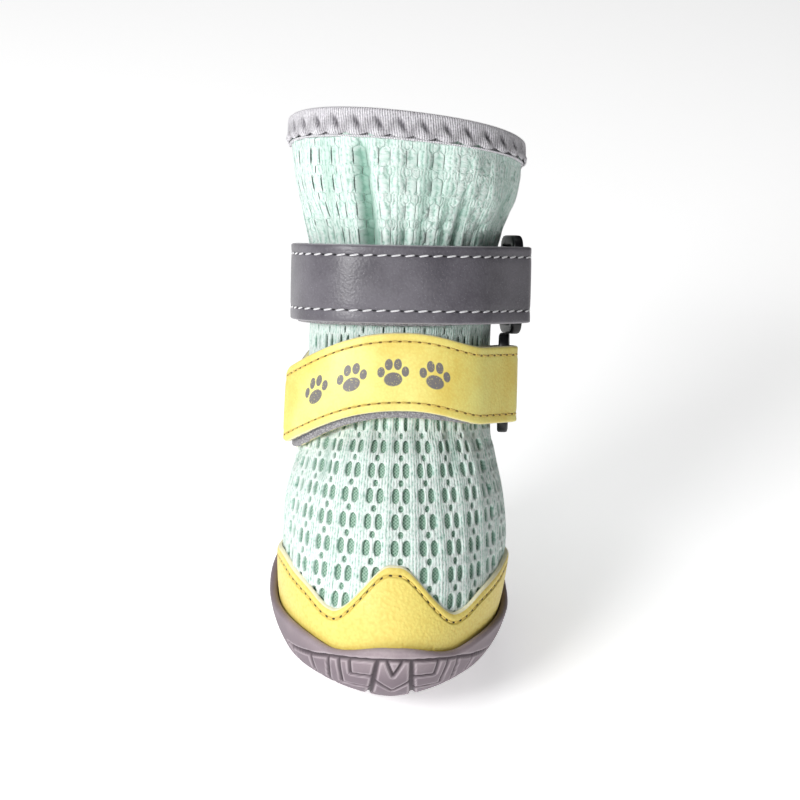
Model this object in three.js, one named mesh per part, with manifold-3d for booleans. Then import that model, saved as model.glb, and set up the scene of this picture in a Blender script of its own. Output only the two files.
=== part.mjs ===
// A dog boot: a rubber cup sole with a tread that climbs the toe, an air-mesh upper, a synthetic
// leather rand, a bound collar, and two straps that turn back through plastic rings.
// Millimetres. Z is up, the toe points to -Y, and the rings sit on the +X side.

import * as THREE from "three";
import Module from "manifold-3d";

const wasm = await Module();
wasm.setup();
const { Manifold, Mesh } = wasm;

// ---------------------------------------------------------------------------------------------
// Driving sizes

const FOOT_LENGTH = 79;
const FOOT_WIDTH = 57.6;
const LEG_TILT = 24;
const LEG_DEPTH = 44;
const FLOOR_LEVEL = 5.3;
const GAP = 0.3;

const UPPER_WALL = 2.2;
const CAP_THICK = 1.2;
const RUBBER_WALL = 2.1;
const INSOLE_THICK = 2;
const TAPE_THICK = 1;
const TAPE_HEIGHT = 7;

const CAP_INNER = GAP;
const CAP_OUTER = CAP_INNER + CAP_THICK;
const CUP_INNER = CAP_OUTER + GAP;
const CUP_OUTER = CUP_INNER + RUBBER_WALL;

// The toe lifts off the ground from `from` to `to`; a shallow arch lifts the waist.
const TOE_SPRING = { rise: 7.5, from: -12, to: -44 };
const WAIST = { rise: 0.8, centre: 12, reach: 8 };

const STRAP = { width: 20, thick: 1.6 };
const RING = { height: 26, bar: 2.8, corner: 2.6, bevel: 0.7 };
const TAB = { width: 18, thick: 1 };
const BAR_CLEARANCE = 0.6;

// Points round each section.
const AROUND = 36;

// Corners closer to flat than this are smoothed away in what a cut leaves.
const WELD = 0.08;

// ---------------------------------------------------------------------------------------------
// Small helpers

const radians = THREE.MathUtils.degToRad;

// 0 below `low`, 1 above `high`, and a soft step between them.
function softStep(low, high, value) {
  return THREE.MathUtils.smoothstep(value, low, high);
}

function springAt(y) {
  const reach = (TOE_SPRING.from - y) / (TOE_SPRING.from - TOE_SPRING.to);
  return TOE_SPRING.rise * Math.max(0, reach) ** 2;
}

// A value on the superellipse's unit quarter: `share` is a sine or a cosine.
function squared(share, exponent) {
  return Math.sign(share) * Math.abs(share) ** (2 / exponent);
}

// A smooth curve's value between b and c, with a and d as its outer neighbours.
function smoothBetween(a, b, c, d, t) {
  const slope = c - a;
  const bend = 2 * a - 5 * b + 4 * c - d;
  const twist = 3 * b - a - 3 * c + d;
  return 0.5 * (2 * b + slope * t + bend * t * t + twist * t ** 3);
}

// ---------------------------------------------------------------------------------------------
// The last: a stack of slanted sections from the feather edge to the collar

// A leg section stands square to the leg. `rise` runs up the leg from the ankle, `flare` moves its
// front outwards and `pitch` is the slope of its plane.
const ANKLE_FRONT = { y: 0, z: 68 };

// The collar's height up the leg, the height where the leg starts to flare, and how much more than
// the leg the collar slopes.
const COLLAR_RISE = 77.5;
const FLARE_RISE = 60;
const COLLAR_SLOPE = 7;

function legSection({ rise, flare, depth, pitch, ...rest }) {
  const tilt = radians(LEG_TILT);
  const frontY = ANKLE_FRONT.y + rise * Math.sin(tilt) - flare * Math.cos(tilt);
  const frontZ = ANKLE_FRONT.z + rise * Math.cos(tilt) + flare * Math.sin(tilt);
  const backY = frontY + depth * Math.cos(radians(pitch));
  const backZ = frontZ - depth * Math.sin(radians(pitch));
  return { frontY, frontZ, backY, backZ, ...rest };
}

const HALF = FOOT_WIDTH / 2;
const TOE = -FOOT_LENGTH * 0.525;
const HEEL = TOE + FOOT_LENGTH;
const D = LEG_DEPTH;
const T = LEG_TILT;

// Each row is one section: the points where it meets the front and the back of the side profile,
// its half width, how far back it is widest, how square its nose and tail are, how far it sits to
// the ring side, and how many degrees it leans down to that side.
const SECTIONS = [
  { name: "feather", frontY: TOE + 6, frontZ: FLOOR_LEVEL, backY: HEEL - 5.5, backZ: FLOOR_LEVEL,
    half: HALF - 6.3, wide: 0.54, nose: 1.85, tail: 2.3, side: 0, lean: 0 },
  { name: "rand", frontY: TOE + 1.5, frontZ: 10, backY: HEEL - 1, backZ: 9,
    half: HALF - 3.4, wide: 0.54, nose: 1.9, tail: 2.3, side: 0, lean: 0 },
  { name: "toe", frontY: TOE, frontZ: 16.5, backY: HEEL, backZ: 14,
    half: HALF - 1.4, wide: 0.53, nose: 1.95, tail: 2.3, side: 0.3, lean: 0 },
  { name: "vamp", frontY: TOE + 3, frontZ: 26.5, backY: HEEL, backZ: 19.5,
    half: HALF - 0.2, wide: 0.52, nose: 2.05, tail: 2.2, side: 0.8, lean: 0 },
  { name: "bulge", frontY: TOE + 10, frontZ: 39.5, backY: HEEL - 0.5, backZ: 26,
    half: HALF + 0.3, wide: 0.5, nose: 2.05, tail: 2.2, side: 1.4, lean: 0 },
  { name: "instep", frontY: TOE + 20, frontZ: 51.5, backY: HEEL - 0.5, backZ: 33,
    half: HALF - 0.6, wide: 0.5, nose: 2.05, tail: 2.2, side: 1.6, lean: 0 },
  { name: "bend", frontY: TOE + 31.5, frontZ: 61.5, backY: HEEL + 0.5, backZ: 40.5,
    half: HALF - 3, wide: 0.5, nose: 2.05, tail: 2.2, side: 1.8, lean: 0 },
  legSection({ name: "ankle", rise: 0, flare: 0, depth: D, pitch: T,
    half: 24, wide: 0.5, nose: 2.1, tail: 2.1, side: 2, lean: 0 }),
  legSection({ name: "lower_strap", rise: 20, flare: 0, depth: D, pitch: T,
    half: 23.6, wide: 0.5, nose: 2.1, tail: 2.1, side: 2.3, lean: 0 }),
  legSection({ name: "upper_strap", rise: 43.2, flare: 0, depth: D + 0.6, pitch: T,
    half: 24.2, wide: 0.5, nose: 2.1, tail: 2.1, side: 2.9, lean: 0 }),
  legSection({ name: "flare", rise: FLARE_RISE, flare: 5.5, depth: D + 12.5, pitch: T + 3,
    half: 28.6, wide: 0.5, nose: 2.2, tail: 2.2, side: 3.2, lean: 3 }),
  legSection({ name: "collar", rise: COLLAR_RISE, flare: 7, depth: D + 16, pitch: T + COLLAR_SLOPE,
    half: 30, wide: 0.5, nose: 2.2, tail: 2.2, side: 3.3, lean: 6 }),
];
const COLUMNS = Object.keys(SECTIONS[0]).filter((key) => key !== "name");
const LAST_ROW = SECTIONS.length - 1;

// A section's place in the stack, which `sectionAt` takes with any share between two rows.
function level(name) {
  return SECTIONS.findIndex((section) => section.name === name);
}

function sectionAt(place) {
  const low = Math.min(Math.max(Math.floor(place), 0), LAST_ROW - 1);
  const below = SECTIONS[low];
  const above = SECTIONS[low + 1];
  const section = {};
  for (const key of COLUMNS) {
    const before = low > 0 ? SECTIONS[low - 1][key] : 2 * below[key] - above[key];
    const after = low + 2 <= LAST_ROW ? SECTIONS[low + 2][key] : 2 * above[key] - below[key];
    section[key] = smoothBetween(before, below[key], above[key], after, place - low);
  }
  return section;
}

// A point of a section at `angle` from its front, `offset` outside it, before the toe spring.
function pointOn(section, angle, offset) {
  const { frontY, frontZ, backY, backZ, wide, half, side, lean } = section;
  const centreY = frontY + wide * (backY - frontY);
  const centreZ = frontZ + wide * (backZ - frontZ);
  const ahead = Math.cos(angle) >= 0;
  const reachY = (ahead ? frontY : backY) - centreY;
  const reachZ = (ahead ? frontZ : backZ) - centreZ;
  const length = Math.hypot(reachY, reachZ);
  const exponent = ahead ? section.nose : section.tail;
  const across = (half + offset) * squared(Math.sin(angle), exponent);
  const along = ((length + offset) / length) * Math.abs(squared(Math.cos(angle), exponent));
  const y = centreY + reachY * along;
  const z = centreZ + reachZ * along - Math.tan(radians(lean)) * across;
  return new THREE.Vector3(across + side, y, z);
}

// A closed ring of points; `lift` moves it up or down, and the toe spring bends it.
function ring(section, offset, { lift = 0, scale = 1 } = {}) {
  const points = [];
  const middle = (section.frontY + section.backY) / 2;
  for (let step = 0; step < AROUND; step += 1) {
    const point = pointOn(section, (2 * Math.PI * step) / AROUND, offset);
    point.x *= scale;
    point.y = middle + (point.y - middle) * scale;
    point.z += lift + springAt(point.y);
    points.push(point);
  }
  return points;
}

// The places of the rows that every form is made of, so that their facets stay parallel: each
// section has a row, and so has the middle between two of them except along the straight leg.
const STRAIGHT_FROM = "ankle";
const STRAIGHT_TO = "upper_strap";

function rowPlaces(from, to) {
  const all = [];
  for (let place = from; place <= to; place += 0.5) {
    const inLeg = place > level(STRAIGHT_FROM) && place < level(STRAIGHT_TO);
    if (Number.isInteger(place) || !inLeg) all.push(place);
  }
  return all;
}

// ---------------------------------------------------------------------------------------------
// Meshes and solids

// A skin over rings of equal length. A loop joins the last ring to the first, as round a wall;
// otherwise a fan closes each end.
function skin(rings, { loop = false } = {}) {
  const count = rings[0].length;
  const points = rings.flat();
  const faces = [];
  const rowPairs = loop ? rings.length : rings.length - 1;
  for (let row = 0; row < rowPairs; row += 1) {
    const here = row * count;
    const next = ((row + 1) % rings.length) * count;
    for (let step = 0; step < count; step += 1) {
      const beside = (step + 1) % count;
      faces.push(here + step, here + beside, next + beside);
      faces.push(here + step, next + beside, next + step);
    }
  }
  if (!loop) {
    closeEnd(points, faces, rings[0], 0, false);
    closeEnd(points, faces, rings[rings.length - 1], (rings.length - 1) * count, true);
  }
  return geometryOf(points, faces);
}

function closeEnd(points, faces, endRing, first, facesUp) {
  const centre = new THREE.Vector3();
  endRing.forEach((point) => centre.addScaledVector(point, 1 / endRing.length));
  const apex = points.push(centre) - 1;
  endRing.forEach((_, step) => {
    const here = first + step;
    const beside = first + ((step + 1) % endRing.length);
    faces.push(apex, facesUp ? here : beside, facesUp ? beside : here);
  });
}

function geometryOf(points, faces) {
  const geometry = new THREE.BufferGeometry().setFromPoints(points);
  geometry.setIndex(faces);
  return geometry;
}

function solidOf(geometry) {
  const vertProperties = new Float32Array(geometry.getAttribute("position").array);
  const triVerts = new Uint32Array(geometry.index.array);
  return new Manifold(new Mesh({ numProp: 3, vertProperties, triVerts }));
}

function geometryFrom(solid) {
  const { vertProperties, triVerts } = solid.getMesh();
  const geometry = new THREE.BufferGeometry();
  geometry.setAttribute("position", new THREE.BufferAttribute(vertProperties, 3));
  geometry.setIndex(new THREE.BufferAttribute(triVerts, 1));
  return geometry;
}

// The last, filled, `offset` outside the upper's outer face, from its floor to a level. The floor
// is made of shrinking rings, because it bends with the toe spring.
const FLOOR_SCALES = [0.49, 0.78];

function filledLast(offset, topPlace, lift = 0) {
  const floor = sectionAt(0);
  const floorRings = FLOOR_SCALES.map((scale) => ring(floor, offset, { lift, scale }));
  const rest = rowPlaces(0, topPlace).map((place) =>
    ring(sectionAt(place), offset, { lift: place === 0 ? lift : 0 }));
  return solidOf(skin([...floorRings, ...rest]));
}

// Everything below a waved surface: `heightAt` takes degrees round from the toe. The surface is
// level along each radius, and its inner circles lie close together where the foot's walls cross it.
const WAVE_REACH = 80;
const WAVE_STEPS = 80;
const WAVE_CIRCLES = [50, 43, 37, 32, 27, 23, 1];

function below(heightAt) {
  const circle = (radius, height) => Array.from({ length: WAVE_STEPS }, (_, step) => {
    const turn = (360 * step) / WAVE_STEPS;
    const x = radius * Math.sin(radians(turn));
    const y = -radius * Math.cos(radians(turn));
    return new THREE.Vector3(x, y, height(Math.min(turn, 360 - turn)));
  });
  const ground = circle(WAVE_REACH, () => -WAVE_REACH);
  const surface = [WAVE_REACH, ...WAVE_CIRCLES].map((radius) => circle(radius, heightAt));
  return solidOf(skin([ground, ...surface]));
}

function named(name, geometry, { color, roughness, metalness = 0 }) {
  const material = new THREE.MeshStandardMaterial({ color, roughness, metalness, name });
  const mesh = new THREE.Mesh(geometry, material);
  mesh.name = name;
  return mesh;
}

const FINISHES = {
  rubber: { color: "#a89ca3", roughness: 0.62 },
  foam: { color: "#c9cfcb", roughness: 0.9 },
  knit: { color: "#c8dcd2", roughness: 0.92 },
  grain: { color: "#f3dc70", roughness: 0.5 },
  tape: { color: "#aeacb1", roughness: 0.95 },
  greyStrap: { color: "#6e6c71", roughness: 0.42 },
  yellowStrap: { color: "#f8ef92", roughness: 0.48 },
  plastic: { color: "#0a0a0e", roughness: 0.35 },
  webbing: { color: "#6c6c72", roughness: 0.9 },
};

// ---------------------------------------------------------------------------------------------
// Upper, insole, toe cap and collar band

function makeUpper() {
  const rows = rowPlaces(0, LAST_ROW);
  const outside = rows.map((place) => ring(sectionAt(place), 0));
  const inside = rows.map((place) => ring(sectionAt(place), -UPPER_WALL)).reverse();
  return named("upper", skin([...outside, ...inside], { loop: true }), FINISHES.knit);
}

function makeInsole() {
  const inset = -UPPER_WALL - GAP;
  const section = sectionAt(0);
  const thick = INSOLE_THICK;
  const under = [...FLOOR_SCALES, 1].map((scale) => ring(section, inset, { scale }));
  const over = [1, ...FLOOR_SCALES.toReversed()].map((scale) =>
    ring(section, inset, { scale, lift: thick }));
  return named("insole", skin([...under, ...over]), FINISHES.foam);
}

// The cap's upper edge: a rounded peak at the toe, a shallow dip each side of it, level flanks,
// and a low rand round the heel.
const CAP_EDGE = {
  flank: 33, peak: 10.8, peakFrom: 2, peakTo: 25.5,
  dip: 1.7, dipAt: 28, dipReach: 10, heel: 23, fallFrom: 66, fallTo: 128,
};

function capEdgeAt(turn) {
  const e = CAP_EDGE;
  const peak = e.peak * (1 - softStep(e.peakFrom, e.peakTo, turn));
  const dip = e.dip * Math.exp(-(((turn - e.dipAt) / e.dipReach) ** 2));
  const fall = (e.flank - e.heel) * softStep(e.fallFrom, e.fallTo, turn);
  return e.flank + peak - dip - fall;
}

function makeToeCap() {
  const top = level("instep");
  const outer = filledLast(CAP_OUTER, top);
  const inner = filledLast(CAP_INNER, top + 1, -WAVE_REACH);
  const cap = outer.subtract(inner).intersect(below(capEdgeAt));
  return named("toe_cap", geometryFrom(cap.asOriginal().simplify(WELD)), FINISHES.grain);
}

// A folded tape over the collar's edge: outer leaf, fold and inner leaf in one loop.
function makeCollarBand() {
  const pitch = radians(LEG_TILT + COLLAR_SLOPE);
  const up = new THREE.Vector3(0, Math.sin(pitch), Math.cos(pitch));
  const hem = LAST_ROW - TAPE_HEIGHT / (COLLAR_RISE - FLARE_RISE);
  const outer = GAP;
  const inner = -UPPER_WALL - GAP;
  const edge = (place, offset, rise) => {
    const points = ring(sectionAt(place), offset);
    points.forEach((point) => point.addScaledVector(up, rise));
    return points;
  };
  const loop = [
    edge(hem, outer + TAPE_THICK, 0),
    edge(LAST_ROW, outer + TAPE_THICK, GAP),
    edge(LAST_ROW, outer + TAPE_THICK / 2, GAP + TAPE_THICK),
    edge(LAST_ROW, inner - TAPE_THICK / 2, GAP + TAPE_THICK),
    edge(LAST_ROW, inner - TAPE_THICK, GAP),
    edge(hem, inner - TAPE_THICK, 0),
    edge(hem, inner, 0),
    edge(LAST_ROW, inner, GAP),
    edge(LAST_ROW, outer, GAP),
    edge(hem, outer, 0),
  ];
  return named("collar_band", skin(loop, { loop: true }), FINISHES.tape);
}

// ---------------------------------------------------------------------------------------------
// Outsole

// The rubber below the cup's wall, row by row from the ground. `half`, `nose` and the two ends are
// the outline, `z` the height before the spring.
const GROUND_ROWS = [
  { name: "ground", z: 0, front: -27.5, back: 33.5, half: 20, nose: 1.55 },
  { name: "shoulder", z: 1.6, front: -34.5, back: 38.2, half: 24.4, nose: 1.6 },
  { name: "bilge", z: 5.4, front: -41, back: 40.8, half: 28, nose: 1.75 },
];
const OUTLINE = { wide: 0.56, tail: 2.35 };

// The rim of the rubber: highest at the toe's centre, lower on the flanks and the heel.
const RIM = { heel: 17.2, flank: 5.2, flankFrom: 30, flankTo: 96, peak: 4.6, peakFrom: 2, peakTo: 26 };

function rimAt(turn) {
  const flank = RIM.flank * (1 - softStep(RIM.flankFrom, RIM.flankTo, turn));
  const peak = RIM.peak * (1 - softStep(RIM.peakFrom, RIM.peakTo, turn));
  return RIM.heel + flank + peak;
}

// The arch of the waist: a wide roller laid across the underside.
const ROLLER_FACETS = 160;

function waistRoller() {
  const { rise, centre, reach } = WAIST;
  const radius = (reach ** 2 + rise ** 2) / (2 * rise);
  return Manifold.cylinder(2 * WAVE_REACH, radius, radius, ROLLER_FACETS, true)
    .rotate([0, 90, 0])
    .translate([0, centre, rise - radius]);
}

// A ring of the rubber's outside; `cut` draws it in by the depth of the tread.
function groundRing(row, cut, scale = 1) {
  const section = {
    frontY: row.front, backY: row.back, frontZ: row.z, backZ: row.z,
    half: row.half, nose: row.nose, side: 0, lean: 0, ...OUTLINE,
  };
  return ring(section, -cut, { scale, lift: row.name === "ground" ? cut : cut / 2 });
}

const WALL_TOP = 4;

function rubberBody(cut) {
  const floor = FLOOR_SCALES.map((scale) => groundRing(GROUND_ROWS[0], cut, scale));
  const low = GROUND_ROWS.map((row) => groundRing(row, cut));
  const wall = rowPlaces(level("rand"), WALL_TOP).map((place) =>
    ring(sectionAt(place), CUP_OUTER - cut));
  return solidOf(skin([...floor, ...low, ...wall]));
}

// Tread grooves as lines in plan on the underside, in half of the sole; the other half mirrors it.
// A chevron and a lug repeat at their own pitches, and each lug has a notch beside the column.
const TREAD = {
  depth: 1.4, groove: 1.3, column: 6.4, chevron: 7.5, chevronDrop: 3.8, lug: 9.4, lugSweep: 5,
  notch: [[4.4, 8.4], [11, 7.2], [11.8, 3]],
};
const UNDERSIDE = { from: -23, to: 36, edge: 34, ceiling: 4.6, columnFrom: -40, columnTo: 44 };

function undersideGrooves() {
  const { columnFrom, columnTo } = UNDERSIDE;
  const lines = [[[TREAD.column, columnFrom], [TREAD.column, columnTo]]];
  for (let y = UNDERSIDE.from; y < UNDERSIDE.to; y += TREAD.chevron) {
    lines.push([[0, y + TREAD.chevronDrop], [TREAD.column, y]]);
  }
  for (let y = UNDERSIDE.from; y < UNDERSIDE.to; y += TREAD.lug) {
    lines.push([[TREAD.column, y + TREAD.lugSweep], [UNDERSIDE.edge, y]]);
    lines.push(TREAD.notch.map(([dx, dy]) => [TREAD.column + dx, y + dy]));
  }
  return lines;
}

// One straight stretch of a groove: the hull of a small square post at each of its ends.
function post(x, y) {
  const half = TREAD.groove / 2;
  const corners = [];
  for (const dx of [-half, half]) {
    for (const dy of [-half, half]) {
      corners.push([x + dx, y + dy, -TREAD.depth * 2], [x + dx, y + dy, UNDERSIDE.ceiling]);
    }
  }
  return corners;
}

function mirrored(line) {
  return line.map(([x, ...rest]) => [-x, ...rest]);
}

function stretches(line, cornersAt) {
  return line.slice(1).map((end, step) =>
    Manifold.hull([...cornersAt(...line[step]), ...cornersAt(...end)]));
}

// Tread on the climbing toe: `x` across, and `climb` counted in rows of the rubber's outside
// (0 the ground row, 1 the shoulder, 2 the bilge, 3 the cup's wall at the rand).
const CLIMB_TOP = 3.9;
const TOE_COLUMN = { low: 6.3, high: 4.5 };

function toeSection(climb) {
  const rows = [
    ...GROUND_ROWS,
    ...[level("rand"), level("toe")].map((place) => {
      const { frontZ, frontY, half, nose } = sectionAt(place);
      return { z: frontZ, front: frontY - CUP_OUTER, half: half + CUP_OUTER, nose };
    }),
  ];
  const low = Math.min(Math.max(Math.floor(climb), 0), rows.length - 2);
  const mix = (key) => THREE.MathUtils.lerp(rows[low][key], rows[low + 1][key], climb - low);
  return { z: mix("z"), front: mix("front"), half: mix("half"), nose: mix("nose") };
}

function toePoint(x, climb) {
  const { z, front, half, nose } = toeSection(climb);
  const reach = OUTLINE.wide * (HEEL - front);
  const across = Math.min(Math.abs(x) / half, 0.98);
  const y = front + reach * (1 - (1 - across ** nose) ** (1 / nose));
  return new THREE.Vector3(x, y, z + springAt(y));
}

function toePost(x, climb) {
  const centre = toePoint(x, climb);
  const up = toePoint(x, climb + 0.2).sub(toePoint(x, climb - 0.2)).normalize();
  const across = toePoint(x + 1, climb).sub(toePoint(x - 1, climb)).normalize();
  const out = across.clone().cross(up).normalize();
  const half = TREAD.groove / 2;
  const corners = [];
  for (const side of [-half, half]) {
    for (const rise of [-half, half]) {
      for (const depth of [-TREAD.depth * 2, TREAD.depth]) {
        const corner = centre.clone().addScaledVector(across, side).addScaledVector(up, rise);
        corners.push(corner.addScaledVector(out, depth).toArray());
      }
    }
  }
  return corners;
}

// The toe's grooves as corners of x and climb. A chevron's arms rise from its point to the column's
// edge; the first groove cuts a triangle out of the top one. Each bar's line starts at the column.
const CHEVRON_POINTS = [-0.25, 0.85, 2];
const CHEVRON_ARM = 0.85;
const TOP_TRIANGLE = [[0, 3.1], [2.2, 3.9]];
const TOE_BARS = [
  { from: 3.05, rest: [[10.9, 3.1], [11.7, 3.9]] },
  { from: 2.2, rest: [[12.6, 2.3], [14.4, 3.9]] },
  { from: 1.2, rest: [[13.6, 1.4], [15.8, 2.3], [17, 3.9]] },
  { from: 0.3, rest: [[14.5, 0.6], [18, 1.5]] },
];
const FLANK_LUGS = [[[17, 1.6], [19.4, 2.6], [21.4, 3.8]], [[19.6, 1], [23, 2.2], [25.4, 3.5]]];
const STEP_LINE = [[0, CLIMB_TOP], [12, CLIMB_TOP], [22, CLIMB_TOP - 0.1]];

function columnAt(climb) {
  return THREE.MathUtils.lerp(TOE_COLUMN.low, TOE_COLUMN.high, climb / CLIMB_TOP);
}

function toeGrooves() {
  const lines = [[[columnAt(0), -0.4], [columnAt(2), 2], [columnAt(CLIMB_TOP), CLIMB_TOP]]];
  for (const point of CHEVRON_POINTS) {
    const end = point + CHEVRON_ARM;
    lines.push([[0, point], [columnAt(end), end]]);
  }
  for (const { from, rest } of TOE_BARS) {
    lines.push([[columnAt(from), from], ...rest]);
  }
  return [...lines, TOP_TRIANGLE, ...FLANK_LUGS, STEP_LINE];
}

function makeOutsole() {
  const under = undersideGrooves();
  const toe = toeGrooves();
  const cuts = [
    ...[...under, ...under.map(mirrored)].flatMap((line) => stretches(line, post)),
    ...[...toe, ...toe.map(mirrored)].flatMap((line) => stretches(line, toePost)),
  ];
  const lugs = rubberBody(0).subtract(Manifold.union(cuts)).subtract(waistRoller());
  const cavity = filledLast(CUP_INNER, WALL_TOP + 1, -GAP);
  const sole = rubberBody(TREAD.depth).add(lugs).subtract(cavity).intersect(below(rimAt));
  return named("outsole", geometryFrom(sole.asOriginal().simplify(WELD)), FINISHES.rubber);
}

// ---------------------------------------------------------------------------------------------
// Straps, rings and tabs, laid out in the leg's own frame

// A point of the leg's frame: `x` across, `back` along a level section, `rise` up the leg.
function legPoint(x, back, rise) {
  const tilt = radians(LEG_TILT);
  const fromFront = back + LEG_DEPTH / 2;
  const y = ANKLE_FRONT.y + rise * Math.sin(tilt) + fromFront * Math.cos(tilt);
  const z = ANKLE_FRONT.z + rise * Math.cos(tilt) - fromFront * Math.sin(tilt);
  return new THREE.Vector3(x, y, z);
}

// One row for each strap: the leg's half width and side shift there, how far the loop stands off
// on the left, the places of the ring's two bars, how far the ring sits below the strap's middle,
// where the free end leaves the leg, how far it runs on straight and how much lower its tip ends,
// how far the strap drops on its left flank, how far the layer beneath sits lower, and the hem's
// flare.
const STRAPS = [
  { name: "lower", rise: 12.2, half: 24.2, side: 2.1, slackLeft: 1.4,
    frontBar: [27, -9], rearBar: [28.2, 1.8], ringDrop: 3.6, freeEnd: -63, straight: 8,
    tipDrop: 2.5, endDrop: 9.5, layerDrop: 1.8, hemFlare: 0.8, finish: FINISHES.yellowStrap },
  { name: "upper", rise: 34.4, half: 24.7, side: 2.65, slackLeft: 0.8,
    frontBar: [29.9, -5.3], rearBar: [28, 5.3], ringDrop: 0, freeEnd: -128, straight: 0,
    tipDrop: 0, endDrop: 0, layerDrop: 0.6, hemFlare: 0, finish: FINISHES.greyStrap },
];
const STRAP_SHAPE = 2.45;
const LEG_REACH = LEG_DEPTH / 2 + 0.8;

// A loop round the leg at a distance, as [x, back] from the leg's centre, `turn` from the front.
function loopPoint(strap, turn, distance) {
  const angle = radians(turn);
  const slack = turn < 0 ? strap.slackLeft : 0;
  const x = (strap.half + distance + slack) * squared(Math.sin(angle), STRAP_SHAPE);
  const back = -(LEG_REACH + distance) * squared(Math.cos(angle), STRAP_SHAPE);
  return [x, back];
}

// The turn about a bar from one [x, back] point to another, touching both runs. `sense` is -1 round
// the front bar and 1 round the rear bar.
function wrap(before, [barX, barBack], after, radius, sense) {
  const touchAngle = ([x, back], sign) => {
    const reach = Math.hypot(x - barX, back - barBack);
    return Math.atan2(back - barBack, x - barX) + sign * Math.acos(radius / reach);
  };
  const start = touchAngle(before, sense);
  let end = touchAngle(after, -sense);
  while (sense * (end - start) < 0) end += sense * 2 * Math.PI;
  const steps = 9;
  return Array.from({ length: steps + 1 }, (_, step) => {
    const angle = start + ((end - start) * step) / steps;
    return [barX + radius * Math.cos(angle), barBack + radius * Math.sin(angle)];
  });
}

function range(from, to, step) {
  const count = Math.round(Math.abs(to - from) / step);
  return Array.from({ length: count + 1 }, (_, index) => from + ((to - from) * index) / count);
}

// A ribbon swept along [x, back, rise, flare] stations, square to the leg. The flare is how much
// further its hem, the lower edge, stands from the leg than its upper edge.
function ribbon(stations, { width, thick, side }) {
  const sections = stations.map(([x, back, rise, flare], index) => {
    const before = stations[Math.max(index - 1, 0)];
    const after = stations[Math.min(index + 1, stations.length - 1)];
    const run = Math.hypot(after[0] - before[0], after[1] - before[1]);
    const outX = ((after[1] - before[1]) / run) * (thick / 2);
    const outBack = (-(after[0] - before[0]) / run) * (thick / 2);
    const stretch = flare / Math.hypot(x - side, back);
    const hemX = x + (x - side) * stretch;
    const hemBack = back * (1 + stretch);
    return [
      legPoint(hemX + outX, hemBack + outBack, rise - width / 2),
      legPoint(x + outX, back + outBack, rise + width / 2),
      legPoint(x - outX, back - outBack, rise + width / 2),
      legPoint(hemX - outX, hemBack - outBack, rise - width / 2),
    ];
  });
  return outward(skin(sections));
}

// The same geometry with its faces turned over if they point inwards.
function outward(geometry) {
  const a = new THREE.Vector3();
  const b = new THREE.Vector3();
  const c = new THREE.Vector3();
  const position = geometry.getAttribute("position");
  const index = geometry.index.array;
  let volume = 0;
  for (let corner = 0; corner < index.length; corner += 3) {
    a.fromBufferAttribute(position, index[corner]);
    b.fromBufferAttribute(position, index[corner + 1]);
    c.fromBufferAttribute(position, index[corner + 2]);
    volume += a.dot(b.cross(c));
  }
  if (volume < 0) {
    for (let corner = 0; corner < index.length; corner += 3) {
      [index[corner], index[corner + 1]] = [index[corner + 1], index[corner]];
    }
  }
  return geometry;
}

// Sewn at the back, the strap runs round the left side and the front, turns about the ring's
// front bar and comes back over itself to its free end.
function makeStrap(strap) {
  const base = GAP + STRAP.thick / 2;
  const cover = base + STRAP.thick + GAP;
  const turnRadius = RING.bar / 2 + BAR_CLEARANCE + STRAP.thick / 2;
  const lastTurn = 46;
  const stations = [];
  const add = ([x, back], drop, flare = 0) => {
    stations.push([x + strap.side, back, strap.rise - drop, flare]);
  };
  const toRing = (turn) => softStep(0, lastTurn, turn);
  const flareAt = (turn) => strap.hemFlare * (1 - toRing(turn));
  const dropAt = (turn) => strap.endDrop * softStep(0, 85, -turn) * softStep(-150, -90, turn)
    + strap.ringDrop * toRing(turn);
  const baseRun = range(-179, lastTurn, 9);
  const coverRun = range(lastTurn, strap.freeEnd, 9);
  const arrival = loopPoint(strap, lastTurn, base);
  const departure = loopPoint(strap, lastTurn, cover);
  baseRun.forEach((turn) => {
    const drop = strap.layerDrop * (1 - toRing(turn)) + dropAt(turn);
    add(loopPoint(strap, turn, base), drop, flareAt(turn));
  });
  wrap(arrival, strap.frontBar, departure, turnRadius, -1).forEach((point) => {
    add(point, strap.ringDrop);
  });
  coverRun.forEach((turn) => add(loopPoint(strap, turn, cover), dropAt(turn), flareAt(turn)));
  if (strap.straight > 0) {
    const [x1, back1] = stations[stations.length - 2];
    const [x2, back2, rise2, flare2] = stations[stations.length - 1];
    const reach = strap.straight / Math.hypot(x2 - x1, back2 - back1);
    const tip = [x2 + (x2 - x1) * reach, back2 + (back2 - back1) * reach];
    stations.push([...tip, rise2 - strap.tipDrop, flare2]);
  }
  const { side, name, finish } = strap;
  return named(`${name}_strap`, ribbon(stations, { ...STRAP, side }), finish);
}

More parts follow.
